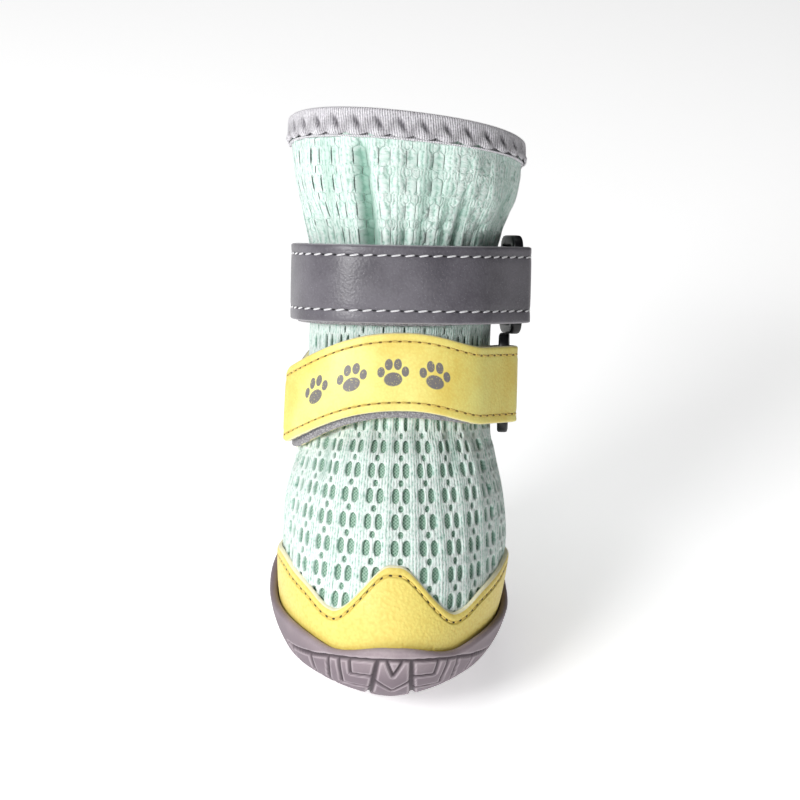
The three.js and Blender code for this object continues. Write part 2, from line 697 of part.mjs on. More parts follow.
// A plastic ring: a bevelled bar swept round a rounded rectangle that stands along the leg.
function makeRing(strap) {
  const [frontX, frontBack] = strap.frontBar;
  const [rearX, rearBack] = strap.rearBar;
  const span = Math.hypot(rearX - frontX, rearBack - frontBack);
  const alongX = (rearX - frontX) / span;
  const alongBack = (rearBack - frontBack) / span;
  const halfSpan = span / 2;
  const halfRise = (RING.height - RING.bar) / 2;
  const radius = RING.corner;
  const bar = RING.bar / 2;
  const bevel = bar - RING.bevel;
  const outline = [[bar, -bevel], [bar, bevel], [bevel, bar], [-bevel, bar],
    [-bar, bevel], [-bar, -bevel], [-bevel, -bar], [bevel, -bar]];
  const sections = [];
  for (const [signU, signV, start] of [[1, 1, 0], [-1, 1, 90], [-1, -1, 180], [1, -1, 270]]) {
    for (const turn of [0, 30, 60, 90]) {
      const angle = radians(start + turn);
      const centreU = signU * (halfSpan - radius);
      const centreV = signV * (halfRise - radius);
      sections.push(outline.map(([out, through]) => {
        const u = centreU + (radius + out) * Math.cos(angle);
        const rise = centreV + (radius + out) * Math.sin(angle);
        const x = (frontX + rearX) / 2 + alongX * u - alongBack * through;
        const back = (frontBack + rearBack) / 2 + alongBack * u + alongX * through;
        return legPoint(x + strap.side, back, strap.rise - strap.ringDrop + rise);
      }));
    }
  }
  return named(`${strap.name}_ring`, outward(skin(sections, { loop: true })), FINISHES.plastic);
}

// The ring's tab: sewn to the back quarter, it runs forward, turns about the rear bar and returns.
function makeTab(strap) {
  const inner = GAP + TAB.thick / 2;
  const outer = inner + TAB.thick + GAP;
  const turnRadius = RING.bar / 2 + BAR_CLEARANCE + TAB.thick / 2;
  const nearTurn = 114;
  const farTurn = 150;
  const stations = [];
  const rise = strap.rise - strap.ringDrop;
  const add = ([x, back]) => stations.push([x + strap.side, back, rise, 0]);
  const arrival = loopPoint(strap, nearTurn, inner);
  const departure = loopPoint(strap, nearTurn, outer);
  range(farTurn, nearTurn, 9).forEach((turn) => add(loopPoint(strap, turn, inner)));
  wrap(arrival, strap.rearBar, departure, turnRadius, 1).forEach(add);
  range(nearTurn, farTurn, 9).forEach((turn) => add(loopPoint(strap, turn, outer)));
  const geometry = ribbon(stations, { ...TAB, side: strap.side });
  return named(`${strap.name}_ring_tab`, geometry, FINISHES.webbing);
}

// ---------------------------------------------------------------------------------------------
// The boot

const group = new THREE.Group();
group.name = "dog_boot";
group.add(makeOutsole(), makeInsole(), makeUpper(), makeToeCap(), makeCollarBand());
for (const strap of STRAPS) {
  group.add(makeStrap(strap), makeRing(strap), makeTab(strap));
}

export default group;
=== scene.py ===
"""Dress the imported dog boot: air-mesh upper, knit tape, grained toe cap, treaded cup sole and two straps.

Sizes are in millimetres until a mesh is made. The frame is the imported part's own: Z is up, the toe
points to -Y, and the rings sit on the +X side.
"""

from __future__ import annotations

import logging
import math
from collections.abc import Callable, Sequence
from dataclasses import dataclass, field, replace
from enum import Enum

import bpy
import numpy as np
from mathutils import Matrix


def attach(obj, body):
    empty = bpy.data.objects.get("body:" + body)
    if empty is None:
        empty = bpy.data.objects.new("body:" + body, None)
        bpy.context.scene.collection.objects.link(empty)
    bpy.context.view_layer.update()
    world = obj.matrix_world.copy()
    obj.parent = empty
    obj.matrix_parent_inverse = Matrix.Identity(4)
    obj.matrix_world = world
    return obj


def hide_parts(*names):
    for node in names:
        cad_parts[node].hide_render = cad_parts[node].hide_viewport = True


LOG = logging.getLogger("dog_boot")
MM = 0.001
BODY = "root"
UV_PER_MM = 0.01
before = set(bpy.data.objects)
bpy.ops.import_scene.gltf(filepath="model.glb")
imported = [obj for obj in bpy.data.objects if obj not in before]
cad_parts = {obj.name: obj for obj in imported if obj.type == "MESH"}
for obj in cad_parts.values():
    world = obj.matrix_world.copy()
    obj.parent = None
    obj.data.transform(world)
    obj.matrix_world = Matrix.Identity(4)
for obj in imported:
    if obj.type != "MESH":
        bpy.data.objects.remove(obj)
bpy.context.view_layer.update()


# ------------------------------------------------------------------------------------------------
# Small maths


def smooth_step(low: float, high: float, value: np.ndarray) -> np.ndarray:
    """Rise softly from 0 to 1.

    Args:
        low: where the step starts.
        high: where it ends.
        value: the numbers to map.

    Returns:
        0 below low, 1 above high, and a soft step between them.
    """
    t = np.clip((np.asarray(value, float) - low) / (high - low), 0, 1)
    return t * t * (3 - 2 * t)


def bump(value: np.ndarray, centre: float, reach: float) -> np.ndarray:
    """Return a rounded hump of height 1 at centre that fades over about reach."""
    return np.exp(-(((np.asarray(value, float) - centre) / reach) ** 2))


def squared(share: np.ndarray, exponent: np.ndarray) -> np.ndarray:
    """Return a superellipse's sine or cosine: the share raised to 2 / exponent, sign kept."""
    return np.sign(share) * np.abs(share) ** (2 / exponent)


def curve_between(a: np.ndarray, b: np.ndarray, c: np.ndarray, d: np.ndarray, t: np.ndarray) -> np.ndarray:
    """Return a smooth curve's value between b and c, with a and d as outer neighbours."""
    return 0.5 * (2 * b + (c - a) * t + (2 * a - 5 * b + 4 * c - d) * t**2 + (3 * b - a - 3 * c + d) * t**3)


def round_edge(distance: np.ndarray, radius: float) -> np.ndarray:
    """Return the share of a sheet's thickness at a distance in from its rounded edge."""
    return np.sqrt(np.clip(1 - np.clip(1 - distance / radius, 0, 1) ** 2, 0, 1))


def all_round(columns: int) -> np.ndarray:
    """Return the angles of a ring's columns, the last on top of the first."""
    return np.linspace(0, 2 * math.pi, columns + 1)


def run_lengths(points: np.ndarray) -> np.ndarray:
    """Return the distance walked along a line of points, 0 at the first."""
    steps = np.linalg.norm(np.diff(points, axis=0), axis=1)
    return np.concatenate([[0.0], np.cumsum(steps)])


def along_line(values: np.ndarray, walked: np.ndarray, marks: np.ndarray) -> np.ndarray:
    """Return the values, rows of three known at the distances walked, at some marks along the way."""
    return np.stack([np.interp(marks, walked, values[:, k]) for k in range(3)], axis=1)


def unit(vectors: np.ndarray) -> np.ndarray:
    """Return the vectors at length 1."""
    return vectors / np.maximum(np.linalg.norm(vectors, axis=-1, keepdims=True), 1e-9)


def grid_normals(points: np.ndarray, wrap: bool) -> np.ndarray:
    """Find the normals of a grid of points.

    Args:
        points: rows by columns by 3.
        wrap: whether the last column meets the first at the same place.

    Returns:
        Unit normals of the same shape.
    """
    if wrap:
        padded = np.concatenate([points[:, -2:-1], points, points[:, 1:2]], axis=1)
        along = padded[:, 2:] - padded[:, :-2]
    else:
        along = np.gradient(points, axis=1)
    up = np.gradient(points, axis=0)
    return unit(np.cross(along, up))


# ------------------------------------------------------------------------------------------------
# Shader building


class Board:
    """A material's node tree, with one method that adds any node."""

    def __init__(self, name: str) -> None:
        """Start an empty material of that name."""
        self.material = bpy.data.materials.new(name)
        self.material.use_nodes = True
        self.tree = self.material.node_tree
        self.tree.nodes.clear()

    def node(self, kind: str, settings: dict[str, object], sockets: dict[object, object]) -> bpy.types.Node:
        """Add a node.

        Args:
            kind: the node's type, without the ShaderNode prefix.
            settings: its properties, which are set first; "stops" fills a colour ramp.
            sockets: values, fields or sockets for its inputs, by name or number.

        Returns:
            The new node.
        """
        node = self.tree.nodes.new("ShaderNode" + kind)
        for key, value in settings.items():
            if key == "stops":
                fill_ramp(node.color_ramp, value)
            else:
                setattr(node, key, value)
        for key, value in sockets.items():
            if isinstance(value, Field):
                self.tree.links.new(value.socket, node.inputs[key])
            else:
                node.inputs[key].default_value = value
        return node

    def out(self, node: bpy.types.Node, name: object = 0) -> Field:
        """Wrap one of a node's outputs."""
        return Field(self, node.outputs[name])

    def maths(self, operation: str, *values: object) -> Field:
        """Add a Math node on fields and numbers."""
        return self.out(self.node("Math", {"operation": operation}, dict(enumerate(values))))

    def mix(self, base: object, over: object, share: object) -> Field:
        """Mix two colours by a share."""
        node = self.node("Mix", {"data_type": "RGBA"}, {0: share, 6: paint(base), 7: paint(over)})
        return self.out(node, 2)

    def object_place(self) -> Field:
        """Return the place on the object, in metres."""
        return self.out(self.node("TexCoord", {}, {}), "Object")

    def flat_place(self) -> tuple[Field, Field]:
        """Return the place on the flat piece as two lengths in millimetres."""
        place = self.out(self.node("TexCoord", {}, {}), "UV")
        parts = self.node("SeparateXYZ", {}, {0: place})
        return self.out(parts, 0) / UV_PER_MM, self.out(parts, 1) / UV_PER_MM

    def vector(self, x: object, y: object, z: object = 0.0) -> Field:
        """Join three numbers in a vector."""
        return self.out(self.node("CombineXYZ", {}, {0: x, 1: y, 2: z}))

    def mask(self, name: str) -> Field:
        """Return a mask that the mesh carries."""
        return self.out(self.node("Attribute", {"attribute_name": name}, {}), "Fac")

    def noise(self, place: Field, scale: float, detail: float = 2.0, rough: float = 0.55) -> Field:
        """Return soft noise from 0 to 1."""
        sockets = {"Vector": place, "Scale": scale, "Detail": detail, "Roughness": rough}
        return self.out(self.node("TexNoise", {}, sockets), 0)

    def cells(self, place: Field, scale: float, feature: str = "F1") -> Field:
        """Return the distance to the nearest of scattered points."""
        node = self.node("TexVoronoi", {"feature": feature}, {"Vector": place, "Scale": scale})
        return self.out(node, "Distance")

    def surface(self, colour: object, roughness: object, relief: object, depth: float,
                constants: dict[str, object] | None = None) -> bpy.types.Material:
        """Close the material with its shader.

        Args:
            colour: the base colour.
            roughness: the roughness.
            relief: a height from 0 to 1, or None for a plain surface.
            depth: what a height of 1 stands for, in millimetres.
            constants: other sockets' values, each the same all over.

        Returns:
            The finished material.
        """
        sockets: dict[object, object] = {"Base Color": paint(colour), "Roughness": roughness}
        sockets.update(constants or {})
        if relief is not None:
            bumped = self.node("Bump", {}, {"Strength": 1.0, "Distance": depth * MM, "Height": relief})
            sockets["Normal"] = self.out(bumped)
        shader = self.node("BsdfPrincipled", {}, sockets)
        self.node("OutputMaterial", {}, {0: self.out(shader)})
        return self.material


class Field:
    """A socket that changes over a surface, with arithmetic that adds Math nodes."""

    def __init__(self, board: Board, socket: bpy.types.NodeSocket) -> None:
        """Wrap a socket of a board."""
        self.board = board
        self.socket = socket

    def __add__(self, other: object) -> Field:
        """Add."""
        return self.board.maths("ADD", self, other)

    def __sub__(self, other: object) -> Field:
        """Subtract."""
        return self.board.maths("SUBTRACT", self, other)

    def __rsub__(self, other: object) -> Field:
        """Subtract from a number."""
        return self.board.maths("SUBTRACT", other, self)

    def __mul__(self, other: object) -> Field:
        """Multiply."""
        return self.board.maths("MULTIPLY", self, other)

    def __truediv__(self, other: object) -> Field:
        """Divide."""
        return self.board.maths("DIVIDE", self, other)

    __radd__ = __add__
    __rmul__ = __mul__

    def sine(self) -> Field:
        """Return the sine."""
        return self.board.maths("SINE", self)

    def size(self) -> Field:
        """Return the value without its sign."""
        return self.board.maths("ABSOLUTE", self)

    def within(self, pitch: float) -> Field:
        """Return the place inside a repeat, from minus half a pitch to half a pitch."""
        return self.board.maths("WRAP", self, pitch / 2, -pitch / 2)

    def least(self, other: object) -> Field:
        """Return the smaller of two."""
        return self.board.maths("MINIMUM", self, other)

    def most(self, other: object) -> Field:
        """Return the larger of two."""
        return self.board.maths("MAXIMUM", self, other)

    def step(self, low: float, high: float) -> Field:
        """Rise softly from 0 at low to 1 at high; with low above high it falls."""
        start, end, first, last = (low, high, 0.0, 1.0) if low < high else (high, low, 1.0, 0.0)
        sockets = {0: self, 1: start, 2: end, 3: first, 4: last}
        node = self.board.node("MapRange", {"interpolation_type": "SMOOTHSTEP"}, sockets)
        return self.board.out(node)

    def band(self, centre: float, half: float, edge: float) -> Field:
        """Return 1 within half of a centre line and 0 further away."""
        return (self - centre).size().step(half + edge, half - edge)


def fill_ramp(ramp: bpy.types.ColorRamp, stops: Sequence[tuple[float, tuple[int, int, int]]]) -> None:
    """Set a ramp's stops.

    Args:
        ramp: the ramp.
        stops: places and 0-255 colours.
    """
    while len(ramp.elements) < len(stops):
        ramp.elements.new(1.0)
    for element, (place, colour) in zip(ramp.elements, stops):
        element.position = place
        element.color = linear(colour)


def linear(colour: tuple[int, int, int]) -> tuple[float, float, float, float]:
    """Turn a 0-255 screen colour into the linear one that shaders use."""
    shares = [part / 255 for part in colour]
    parts = [s / 12.92 if s <= 0.04045 else ((s + 0.055) / 1.055) ** 2.4 for s in shares]
    return (*parts, 1.0)


def paint(colour: object) -> object:
    """Pass a field on, and turn a 0-255 colour into a linear one."""
    return colour if isinstance(colour, Field) else linear(colour)


# ------------------------------------------------------------------------------------------------
# Finishes


Colour = tuple[int, int, int]


@dataclass(frozen=True)
class KnitFinish:
    """Fine warp knit of the air mesh: rows of small loops, with a painted highlight on their tops and painted
    shade between them.
    """

    # light and deep are lit and shaded copies of the yarn colour: painted highlight and painted shade.
    light: Colour = (244, 252, 248)
    middle: Colour = (208, 234, 224)
    deep: Colour = (126, 172, 154)
    wale: float = 0.85

    def make(self) -> bpy.types.Material:
        """Return the knit's material."""
        b = Board("mint_knit")
        across, up = b.flat_place()
        place = b.vector(across, up)
        wander = b.noise(place, 0.8, 2) * 1.6
        ribs = (across * (math.pi / self.wale) + wander).sine().size()
        specks = b.cells(b.vector(across * 1.5, up * 0.9), 1.15)
        fibre = b.noise(place, 2.8, 3, 0.8)
        relief = ribs * 0.35 + (1 - specks * 1.1) * 0.5 + fibre * 0.5
        calm = b.mask("calm")
        # Painted shade in the low loops and a painted highlight on the high ones, both milder where the knit
        # is calm.
        dark = b.mix(self.deep, self.middle, relief.step(0.24, 0.6).most(calm * 0.45))
        colour = b.mix(dark, self.light, relief.step(0.5, 0.9) * (1 - calm * 0.35))
        # Painted shade in the creases of the folds and gathers.
        colour = b.mix(colour, self.deep, b.mask("crease_shade") * 0.75)
        # Painted shade down the walls of the holes.
        colour = b.mix(colour, self.deep, b.mask("pit_shade") * 0.75)
        # Painted highlight on the raised rims round the holes.
        colour = b.mix(colour, self.light, b.mask("rim") * 0.7)
        nap = {"Sheen Weight": 0.25, "Sheen Roughness": 0.5, "Specular IOR Level": 0.25}
        return b.surface(colour, 0.85, relief, 0.3, nap)


@dataclass(frozen=True)
class LiningFinish:
    """Plain close weave behind the mesh's holes, with painted light up the leg behind its narrow slits."""

    light: Colour = (172, 200, 184)
    deep: Colour = (104, 140, 120)
    # shaft is painted light: a paler lining that brightens the shade in the leg's slits.
    shaft_painted_light: Colour = (222, 238, 231)
    pitch: float = 0.45

    def make(self) -> bpy.types.Material:
        """Return the lining's material."""
        b = Board("sage_lining")
        across, up = b.flat_place()
        weave = (across * (math.pi / self.pitch)).sine() * (up * (math.pi / self.pitch)).sine()
        fibre = b.noise(b.vector(across, up), 2.6, 3, 0.7)
        relief = weave * 0.3 + 0.4 + fibre * 0.4
        colour = b.mix(self.deep, self.light, relief.step(0.25, 0.85))
        # Painted light behind the leg's slits.
        colour = b.mix(colour, self.shaft_painted_light, b.mask("shaft_painted_light") * 0.9)
        return b.surface(colour, 0.92, relief, 0.12, {"Specular IOR Level": 0.2})


@dataclass(frozen=True)
class TapeFinish:
    """Heather grey knit tape: fine ribs along its short side and flecked yarn, with painted shade in its
    slits and low between its tufts.
    """

    light: Colour = (250, 248, 252)
    middle: Colour = (206, 203, 209)
    deep: Colour = (84, 80, 88)
    rib: float = 0.62

    def make(self) -> bpy.types.Material:
        """Return the tape's material."""
        b = Board("heather_tape")
        across, up = b.flat_place()
        place = b.vector(across, up)
        wander = b.noise(place, 0.5, 2) * 1.6
        ribs = (across * (math.pi / self.rib) + up * 0.5 + wander * 1.6).sine().size()
        fleck = b.noise(place, 1.7, 4, 0.8)
        relief = ribs * 0.35 + fleck * 0.9
        yarn = b.mix(self.deep, self.middle, relief.step(0.25, 0.66))
        yarn = b.mix(yarn, self.light, relief.step(0.55, 0.95))
        # Painted shade on the lower face, between the tufts.
        yarn = b.mix(yarn, self.deep, (1 - b.mask("tuft")) * b.mask("face") * 0.4)
        # Painted shade in the slits.
        colour = b.mix(yarn, self.deep, b.mask("slit") * 0.85)
        return b.surface(colour, 0.95, relief, 0.4, {"Sheen Weight": 0.3, "Specular IOR Level": 0.15})


@dataclass(frozen=True)
class GrainFinish:
    """Pebbled synthetic leather with a paler cut edge and a punched stitch line, with painted shade in its
    holes and along its groove.

    The lengths are the stitch line's distance from the edge, its pitch, half a hole's length and
    width, and the size of a pebble.
    """

    stitch_line: float
    stitch_pitch: float
    light: Colour = (247, 228, 124)
    deep: Colour = (235, 205, 96)
    edge: Colour = (246, 240, 206)
    # The dark hole colour and the one after it are painted shade: in the stitch holes and along the stitch
    # groove.
    hole: Colour = (66, 48, 18)
    groove_shade: Colour = (224, 188, 78)
    half_hole: tuple[float, float] = (0.52, 0.25)
    pebble: float = 0.75

    def make(self) -> bpy.types.Material:
        """Return the leather's material."""
        b = Board("grained_rand")
        place = b.object_place()
        pebbles = b.cells(place, 1 / (self.pebble * MM), "SMOOTH_F1")
        tone = b.noise(place, 40, 2)
        relief = (1 - pebbles * 0.9) * 0.75 + b.noise(place, 2600, 2) * 0.25
        colour = b.mix(self.deep, self.light, (tone * 0.4 + relief * 0.9).step(0.25, 1.0))
        across, down = b.flat_place()
        rim = down.step(0.62, 0.42)
        colour = b.mix(colour, self.edge, rim)
        along = across.within(self.stitch_pitch) / self.half_hole[0]
        off = (down - self.stitch_line) / self.half_hole[1]
        hole = (along * along + off * off).step(1.25, 0.7)
        groove = (down - self.stitch_line).size().step(0.75, 0.1)
        # Painted shade along the stitch groove and in the stitch holes.
        colour = b.mix(colour, self.groove_shade, groove * 0.25)
        colour = b.mix(colour, self.hole, hole)
        height = relief * 0.34 + (1 - groove) * 0.4 - hole * 0.5
        gloss = 0.44 + pebbles * 0.12 + rim * 0.25
        return b.surface(colour, gloss, height, 0.6, {"Specular IOR Level": 0.45, "Coat Weight": 0.06})


@dataclass(frozen=True)
class RubberFinish:
    """Moulded mauve-grey rubber, with painted shade in its grooves and a painted highlight on their edges.

    It's darker below one height and its plain colour above another, in millimetres.
    """

    light: Colour = (182, 168, 172)
    middle: Colour = (154, 140, 145)
    # A darker tone towards the bottom of the sole.
    low_tone: Colour = (118, 105, 114)
    # deep is painted shade for the grooves.
    deep: Colour = (70, 60, 66)
    # Painted highlight for the edges of the grooves.
    edge_highlight: Colour = (206, 194, 200)
    darker_below: float = 15.0
    plain_above: float = 27.0

    def make(self) -> bpy.types.Material:
        """Return the rubber's material."""
        b = Board("mauve_rubber")
        place = b.object_place()
        mottle = b.noise(place, 90, 4, 0.6)
        speck = b.noise(place, 1400, 3, 0.6)
        colour = b.mix(self.middle, self.light, (mottle * 0.7 + speck * 0.3).step(0.3, 0.75))
        parts = b.node("SeparateXYZ", {}, {0: place})
        low = b.out(parts, 2).step(self.plain_above * MM, self.darker_below * MM)
        # Darker towards the bottom.
        colour = b.mix(colour, self.low_tone, low * 0.9)
        # Painted shade in the grooves.
        colour = b.mix(colour, self.deep, b.mask("groove") * 0.9)
        # Painted highlight along the edges of the grooves.
        colour = b.mix(colour, self.edge_highlight, b.mask("edge") * (mottle * 0.8 + 0.2))
        gloss = 0.5 + speck * 0.18
        return b.surface(colour, gloss, speck * 0.6 + mottle * 0.4, 0.05, {"Specular IOR Level": 0.42})


@dataclass(frozen=True)
class PileFinish:
    """Grey loop pile: short fuzzy loops over a plain ground."""

    light: Colour = (214, 212, 214)
    deep: Colour = (138, 136, 140)
    loop: float = 0.5

    def colour_and_relief(self, b: Board) -> tuple[Field, Field]:
        """Draw the pile on a board.

        Args:
            b: the board.

        Returns:
            The pile's colour and its height.
        """
        place = b.object_place()
        loops = b.cells(place, 1 / (self.loop * MM))
        fuzz = b.noise(place, 2400, 4, 0.75)
        relief = (1 - loops) * 0.5 + fuzz * 0.6
        return b.mix(self.deep, self.light, relief.step(0.35, 0.95)), relief


@dataclass(frozen=True)
class Pad:
    """One pad of a paw print: its middle and its half width and height, in units of the print."""

    x: float
    y: float
    wide: float
    tall: float

    def mask(self, u: Field, v: Field) -> Field:
        """Return 1 inside the pad."""
        du = (u - self.x) / self.wide
        dv = (v - self.y) / self.tall
        return (du * du + dv * dv).step(1.16, 0.86)


PALM = Pad(0, -1.15, 1.75, 1.35)
TOES = (
    Pad(-2.35, 0.35, 0.72, 1.0),
    Pad(-0.88, 1.75, 0.76, 1.1),
    Pad(0.88, 1.75, 0.76, 1.1),
    Pad(2.35, 0.35, 0.72, 1.0),
)


@dataclass(frozen=True)
class StrapFinish:
    """A coated strap face: its colours, grain or glitter with a painted glint, punched stitch lines with
    painted shade along their seams and in their holes, and printed motif.

    Lengths are in millimetres: the two seam lines across the strap, the stitch pitch, half a
    hole's length and width, a grain and a glitter flake, and the prints' spacing, size and drop.
    """

    name: str
    light: Colour
    deep: Colour
    glitter: float
    edge: Colour
    # hole and seam are painted shade: in the stitch holes and along the seams.
    hole: Colour
    seam: Colour
    seam_lines: tuple[float, float]
    pitch: float
    motif: bool
    gloss: float
    pile: PileFinish = PileFinish()
    motif_centre: float = 0.0
    # spark is the glitter's colour: real flakes, painted pale as a glint.
    flake_glint: Colour = (196, 192, 200)
    ink: Colour = (122, 118, 118)
    half_hole: tuple[float, float] = (0.5, 0.22)
    grain: float = 0.62
    flake: float = 0.3
    print_spacing: float = 10.6
    print_size: float = 1.3
    print_drop: float = 0.3

    def paws(self, along: Field, across: Field) -> Field:
        """Return the mask of a row of four plain paw prints.

        Args:
            along: the place along the strap.
            across: the place across it.

        Returns:
            1 inside the prints.
        """
        spacing = self.print_spacing
        from_centre = along - self.motif_centre + spacing / 2
        u = from_centre.within(spacing) / self.print_size
        v = (across + self.print_drop) / self.print_size
        found = PALM.mask(u, v)
        for toe in TOES:
            found = found.most(toe.mask(u, v))
        return found * (from_centre - spacing / 2).size().step(spacing * 2 + 0.2, spacing * 2 - 0.2)

    def make(self) -> bpy.types.Material:
        """Return the strap's material, coated on one side and pile on the other."""
        b = Board(self.name)
        place = b.object_place()
        along, across = b.flat_place()
        tone = b.noise(place, 60, 3)
        grain = b.cells(place, 1 / (self.grain * MM), "SMOOTH_F1")
        fine = b.noise(place, 3000, 2, 0.6)
        relief = (1 - grain * 0.9) * 0.7 + fine * 0.3
        colour = b.mix(self.deep, self.light, (tone + relief * 0.3).step(0.35, 0.9))
        if self.glitter > 0:
            # Glitter: real flakes, with a painted glint.
            grit = b.cells(place, 1 / (self.flake * MM))
            flake_glint = grit.step(0.22, 0.1) * b.noise(place, 1500, 1).step(0.5, 0.66)
            colour = b.mix(colour, self.flake_glint, flake_glint * self.glitter)
        if self.motif:
            worn = b.noise(place, 2600, 3, 0.7).step(0.3, 0.42)
            colour = b.mix(colour, self.ink, self.paws(along, across) * worn)
        low, high = self.seam_lines
        seam = across.band(high, 0.0, 0.65).most(across.band(low, 0.0, 0.65))
        off = (across - high).size().least((across - low).size()) / self.half_hole[1]
        step = along.within(self.pitch) / self.half_hole[0]
        hole = (step * step + off * off).step(1.3, 0.6)
        # Painted shade along the seams and in the stitch holes.
        colour = b.mix(colour, self.seam, seam * 0.6)
        colour = b.mix(colour, self.hole, hole)
        colour = b.mix(colour, self.edge, b.mask("rim"))
        pile_colour, pile_relief = self.pile.colour_and_relief(b)
        under = b.mask("pile")
        colour = b.mix(colour, pile_colour, under)
        face = relief * 0.16 + (1 - seam) * 0.45 - hole * 0.4
        height = face * (1 - under) + pile_relief * under
        gloss = under * 0.5 + self.gloss + fine * 0.12
        return b.surface(colour, gloss, height, 0.5, {"Specular IOR Level": 0.45})


@dataclass(frozen=True)
class ThreadFinish:
    """Twisted sewing thread."""

    name: str
    light: Colour
    deep: Colour
    twist: float = 0.28

    def make(self) -> bpy.types.Material:
        """Return the thread's material."""
        b = Board(self.name)
        place = b.object_place()
        parts = b.node("SeparateXYZ", {}, {0: place})
        lay = b.out(parts, 0) + b.out(parts, 2) * 0.8
        twist = (lay * (2 * math.pi / (self.twist * MM))).sine() * 0.5 + 0.5
        fibre = b.noise(place, 5200, 2)
        relief = twist * 0.7 + fibre * 0.3
        return b.surface(b.mix(self.deep, self.light, relief), 0.6, relief, 0.06, {"Sheen Weight": 0.2})


@dataclass(frozen=True)
class PlasticFinish:
    """Black moulded plastic with a fine satin texture and a few scuffs."""

    deep: Colour = (9, 9, 13)
    light: Colour = (34, 34, 40)

    def make(self) -> bpy.types.Material:
        """Return the plastic's material."""
        b = Board("black_plastic")
        place = b.object_place()
        satin = b.noise(place, 3200, 3)
        scuff = b.noise(place, 240, 4, 0.7).step(0.62, 0.75)
        colour = b.mix(self.deep, self.light, scuff * 0.6 + satin * 0.15)
        return b.surface(colour, 0.3 + scuff * 0.25 + satin * 0.1, satin, 0.02, {"Specular IOR Level": 0.5})


@dataclass(frozen=True)
class WebbingFinish:
    """Flat woven webbing with a slanted twill."""

    light: Colour = (132, 130, 138)
    deep: Colour = (62, 60, 68)
    twill: float = 1.1
    ends: float = 0.8

    def make(self) -> bpy.types.Material:
        """Return the webbing's material."""
        b = Board("grey_webbing")
        along, across = b.flat_place()
        twill = ((along + across * 0.6) * (2 * math.pi / self.twill)).sine()
        ends = (across * (2 * math.pi / self.ends)).sine().size()
        fibre = b.noise(b.vector(along, across), 3, 3, 0.7)
        relief = twill * 0.25 + ends * 0.35 + fibre * 0.4
        return b.surface(b.mix(self.deep, self.light, relief.step(0.1, 0.8)), 0.9, relief, 0.2,
                         {"Specular IOR Level": 0.2})


@dataclass(frozen=True)
class FoamFinish:
    """Felted insole sheet."""

    deep: Colour = (168, 178, 172)
    light: Colour = (214, 220, 215)

    def make(self) -> bpy.types.Material:
        """Return the insole's material."""
        b = Board("felt_insole")
        place = b.object_place()
        felt = b.noise(place, 1800, 5, 0.75)
        tone = b.noise(place, 70, 3)
        colour = b.mix(self.deep, self.light, felt * 0.7 + tone * 0.3)
        return b.surface(colour, 0.95, felt, 0.25, {"Specular IOR Level": 0.15})


@dataclass(frozen=True)
class FloorFinish:
    """Matt near-white studio floor that glows a little, as a lit backdrop does."""

    deep: Colour = (252, 252, 252)
    light: Colour = (255, 255, 255)
    glow: float = 0.5

    def make(self) -> bpy.types.Material:
        """Return the floor's material."""
        b = Board("studio_floor")
        grain = b.noise(b.object_place(), 160, 3)
        constants = {"Specular IOR Level": 0.0, "Emission Color": linear(self.light),
                     "Emission Strength": self.glow}
        return b.surface(b.mix(self.deep, self.light, grain), 0.9, grain, 0.02, constants)


# ------------------------------------------------------------------------------------------------
# Mesh making


def select_only(*pieces: bpy.types.Object) -> None:
    """Select these pieces alone, the first of them active."""
    bpy.ops.object.select_all(action="DESELECT")
    for piece in pieces:
        piece.select_set(True)
    bpy.context.view_layer.objects.active = pieces[0]


def read_points(mesh: bpy.types.Mesh) -> np.ndarray:
    """Return a mesh's points as rows of three."""
    flat = np.empty(len(mesh.vertices) * 3)
    mesh.vertices.foreach_get("co", flat)
    return flat.reshape(-1, 3)


def write_points(mesh: bpy.types.Mesh, points: np.ndarray) -> None:
    """Move a mesh's points to places in millimetres."""
    mesh.vertices.foreach_set("co", (points * MM).ravel())
    mesh.update()


def write_flat(mesh: bpy.types.Mesh, flat: np.ndarray) -> None:
    """Give each corner its place on the flat piece, from one pair of lengths per point."""
    layer = mesh.uv_layers.active or mesh.uv_layers.new(name="flat")
    corner = np.empty(len(mesh.loops), int)
    mesh.loops.foreach_get("vertex_index", corner)
    layer.data.foreach_set("uv", (flat[corner] * UV_PER_MM).ravel())


def write_mask(mesh: bpy.types.Mesh, name: str, values: np.ndarray) -> None:
    """Store a mask of one number per point."""
    layer = mesh.attributes.new(name, "FLOAT", "POINT")
    layer.data.foreach_set("value", np.asarray(values, np.float32).ravel())


def new_grid(name: str, columns: int, rows: int,
             size: float) -> tuple[bpy.types.Object, np.ndarray, np.ndarray]:
    """Add a flat grid.

    Args:
        name: the piece's name.
        columns: how many faces wide it is.
        rows: how many faces high it is.
        size: its side in metres.

    Returns:
        The piece, and the row and the column of each of its points.
    """
    bpy.ops.object.select_all(action="DESELECT")
    bpy.ops.mesh.primitive_grid_add(x_subdivisions=columns, y_subdivisions=rows, size=size)
    piece = bpy.context.active_object
    piece.name = name
    shares = read_points(piece.data) / size + 0.5
    return piece, np.rint(shares[:, 1] * rows).astype(int), np.rint(shares[:, 0] * columns).astype(int)


def in_edit(piece: bpy.types.Object, *steps: Callable[[], object]) -> None:
    """Run edit-mode steps on a whole piece.

    Args:
        piece: the piece, which is selected with all its points.
        steps: what to do, in order.
    """
    select_only(piece)
    bpy.ops.object.mode_set(mode="EDIT")
    bpy.ops.mesh.select_all(action="SELECT")
    for step in steps:
        step()
    bpy.ops.object.mode_set(mode="OBJECT")


